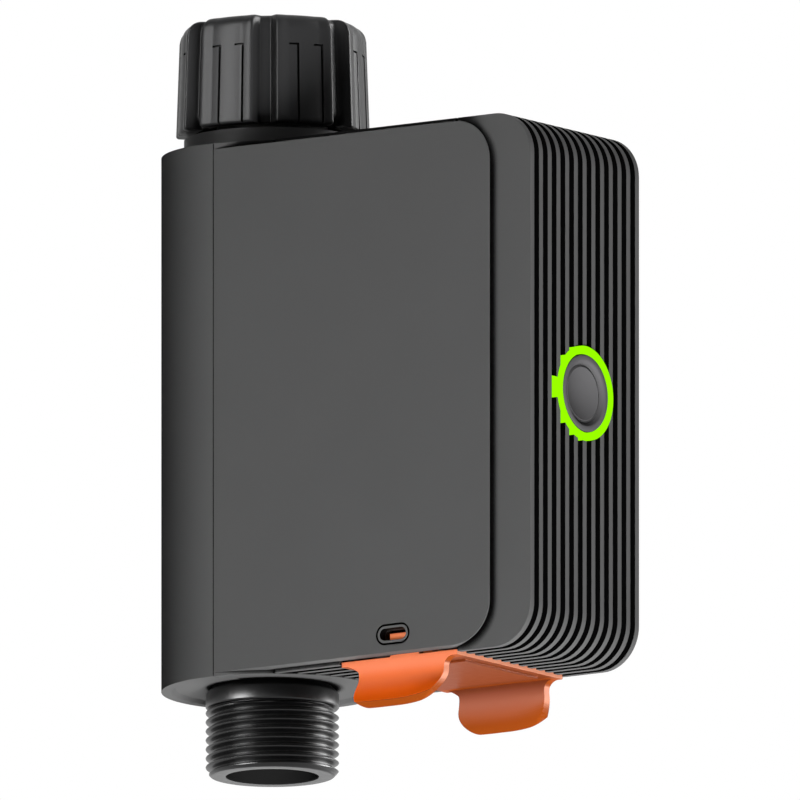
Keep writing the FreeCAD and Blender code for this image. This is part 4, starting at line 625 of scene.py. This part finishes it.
def channels(angles, z):
    """Depth of the two narrow channels in each pad, each up the side and over the top of a strip.

    They are 0.55 mm deep. A strip is 1.8 mm wide and ends at STRIP_TOP, and its side lies 1.5 mm
    before or 3.9 mm past the middle of the pad.
    """
    lobe = TURN / NUT_LOBES
    from_pad = ((angles - FIRST_GROOVE) % lobe - lobe / 2) * NUT_RADIUS
    depth = 0.0
    for side in (-1.5, 3.9):
        beside = 1 - smooth_step(0.12, 0.24, np.abs(from_pad - side))
        within = (from_pad > side - 1.8) * (from_pad < side + 0.1)
        upright = beside * (1 - smooth_step(STRIP_TOP + 0.1, STRIP_TOP + 0.2, z))
        across = within * (1 - smooth_step(0.1, 0.2, np.abs(z - STRIP_TOP)))
        depth = np.maximum(depth, 0.55 * np.maximum(upright, across))
    return depth


def nut_depth(angles, z):
    """How far the outside of the nut lies inside its round envelope, in millimetres.

    Grooves 2.3 mm deep rise to a ridge 2.7 mm from their middle, and from there the pad between
    two grooves sinks by 0.6 mm. The depth of the pad's channels is added.
    """
    width = from_groove(angles)
    groove = 2.3 * (1 - smooth_step(1.1, 2.7, width))
    pad = 0.6 * smooth_step(2.7, 5.4, width)
    return groove + pad + channels(angles, z)


def nut_outside(angles):
    """Rows of the nut's outside, from its foot to its mouth.

    The envelope's radius is 19.3 mm at the foot, where its edge is broken, and falls by 0.8 mm
    over the nut's height. The top edge is a quarter of a circle. The pattern is up to 30 per cent
    shallower there, and each groove has a notch, 1.1 mm deep, at its foot.
    """
    foot, fall, edge, edge_start = 19.3, 0.8, 3.0, 18.55
    straight = np.concatenate([NUT_BOTTOM + np.array([0.0, 0.15, 0.4]), np.linspace(-20.6, -7.0, 12),
                               STRIP_TOP + np.linspace(-0.3, 0.3, 7), np.linspace(-5.5, -edge, 6)])
    taper = foot - fall * (straight - NUT_BOTTOM) / -NUT_BOTTOM
    taper[:2] -= (0.35, 0.12)
    turn = np.radians(np.linspace(10, 90, 9))
    z = np.concatenate([straight, -edge + edge * np.sin(turn)])[:, None]
    envelope = np.concatenate([taper, edge_start - edge * (1 - np.cos(turn))])[:, None]
    share = np.concatenate([np.ones(len(straight)), 1 - 0.3 * np.sin(turn) ** 2])[:, None]
    notch = 1.1 * (1 - smooth_step(NUT_BOTTOM + 1.2, NUT_BOTTOM + 1.5, z))
    notch = notch * (1 - smooth_step(1.5, 1.8, from_groove(angles)))
    return round_about_axis(envelope - nut_depth(angles, z) * share - notch, z, angles)


def nut_inside():
    """Profile of the nut's inside: its mouth, a female thread, a chamber, a lip and the skirt.

    The thread has eight rings to a turn, of radius 12.1 mm plus a smooth tooth of 1 mm.
    """
    steps, root, start, length = 8, 12.1, -1.1, 6.8
    ring = np.arange(int(length / THREAD_PITCH * steps))
    tooth = smooth_step(0, 1, 1 - np.abs(2 * (ring % steps) / steps - 1))
    female = np.stack([root + tooth, start - ring * THREAD_PITCH / steps], -1)
    mouth = [(13.6, 0.0), (13.3, -0.1), (12.5, -0.9)]
    chamber = [(root, -8.3), (12.4, -8.5), (12.4, -14.2)]
    lip_and_skirt = [(10.0, -14.2), (10.0, -17.4), (15.5, -17.4), (15.5, NUT_BOTTOM)]
    return np.concatenate([mouth, female, chamber, lip_and_skirt])


def inlet_nut():
    """Ribbed swivel nut with a round top edge and a female thread inside."""
    angles = np.linspace(0, TURN, 1120, endpoint=False)
    grid = np.concatenate([nut_outside(angles), rings(nut_inside(), angles)])
    made = skin("swivel_nut", grid, sharp=50.0)
    made.data.materials.append(nut_black())
    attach(made, "inlet_nut")
    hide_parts("inlet_nut")


# Light and surroundings

def sees_background(tree):
    """Factor that is 1 for what the camera sees, directly, in a mirror or through a clear piece."""
    path = tree.nodes.new("ShaderNodeLightPath")
    seen = sum_up(tree, "MAXIMUM", path.outputs["Is Camera Ray"], path.outputs["Is Transmission Ray"])
    return sum_up(tree, "MAXIMUM", seen, path.outputs["Is Glossy Ray"])


def background(tree, strength):
    """White background light of a strength."""
    made = tree.nodes.new("ShaderNodeBackground")
    made.inputs["Color"].default_value = (1, 1, 1, 1)
    made.inputs["Strength"].default_value = strength
    return made.outputs["Background"]


def world():
    """Dim even room light; the camera, mirrors and clear pieces see a white room."""
    made = bpy.data.worlds.new("studio")
    bpy.context.scene.world = made
    made.use_nodes = True
    tree = made.node_tree
    tree.nodes.clear()
    mix = tree.nodes.new("ShaderNodeMixShader")
    out = tree.nodes.new("ShaderNodeOutputWorld")
    tree.links.new(sees_background(tree), mix.inputs["Fac"])
    tree.links.new(background(tree, 0.03), mix.inputs[1])
    tree.links.new(background(tree, 1.0), mix.inputs[2])
    tree.links.new(mix.outputs["Shader"], out.inputs["Surface"])


def floor_white():
    """Matt grey for light, and plain white for the camera, mirrors and clear pieces."""
    made = bpy.data.materials.new("floor_white")
    made.use_nodes = True
    tree = made.node_tree
    shader = tree.nodes["Principled BSDF"]
    shader.inputs["Roughness"].default_value = 0.9
    shader.inputs["Base Color"].default_value = (0.45, 0.45, 0.45, 1)
    glow = tree.nodes.new("ShaderNodeEmission")
    mix = tree.nodes.new("ShaderNodeMixShader")
    tree.links.new(sees_background(tree), mix.inputs["Fac"])
    tree.links.new(shader.outputs["BSDF"], mix.inputs[1])
    tree.links.new(glow.outputs["Emission"], mix.inputs[2])
    tree.links.new(mix.outputs["Shader"], tree.nodes["Material Output"].inputs["Surface"])
    return made


def floor():
    """Wide pale floor well below the object."""
    half, z = 4.0, -1.4
    corners = [(-half, -half, z), (half, -half, z), (half, half, z), (-half, half, z)]
    mesh = bpy.data.meshes.new("floor")
    mesh.from_pydata(corners, [], [(0, 1, 2, 3)])
    mesh.materials.append(floor_white())
    made = put("floor", mesh)


def lamp(name, direction, power, size, tall=None, diffuse=True, glossy=True):
    """Soft lamp, 1.4 m off, that shines on the middle of the object from a direction."""
    middle_of_part, distance = (0.0, -0.025, -0.078), 1.4
    data = bpy.data.lights.new(name, "AREA")
    data.shape = "RECTANGLE"
    data.size = size
    data.size_y = tall or size
    data.energy = power
    made = put(name, data)
    aim(made, middle_of_part, Vector(direction).normalized(), distance)
    made.visible_camera = False
    made.visible_diffuse = diffuse
    made.visible_glossy = glossy


def lights():
    """Key from low in front, soft fill behind and above, and cards that only shiny faces mirror."""
    lamp("key", (-0.48, -0.58, -0.62), 26.0, 0.6, glossy=False)
    lamp("far_side", (0.75, 0.45, 0.1), 14.0, 0.9, glossy=False)
    lamp("top", (0.35, 0.2, 1.0), 24.0, 0.9, glossy=False)
    lamp("underside", (0.55, 0.4, -0.73), 12.0, 0.6, glossy=False)
    lamp("left_card", (-0.9, 0.37, 0.17), 150.0, 0.65, 2.0, diffuse=False)
    lamp("right_card", (0.77, -0.62, 0.17), 185.0, 0.9, 2.0, diffuse=False)


bpy.context.scene.view_settings.view_transform = "Standard"
camera()
world()
floor()
lights()
dress_outside()
dress_inside()
latch()
button()
ring_tab()
outlet()
inlet_nut()
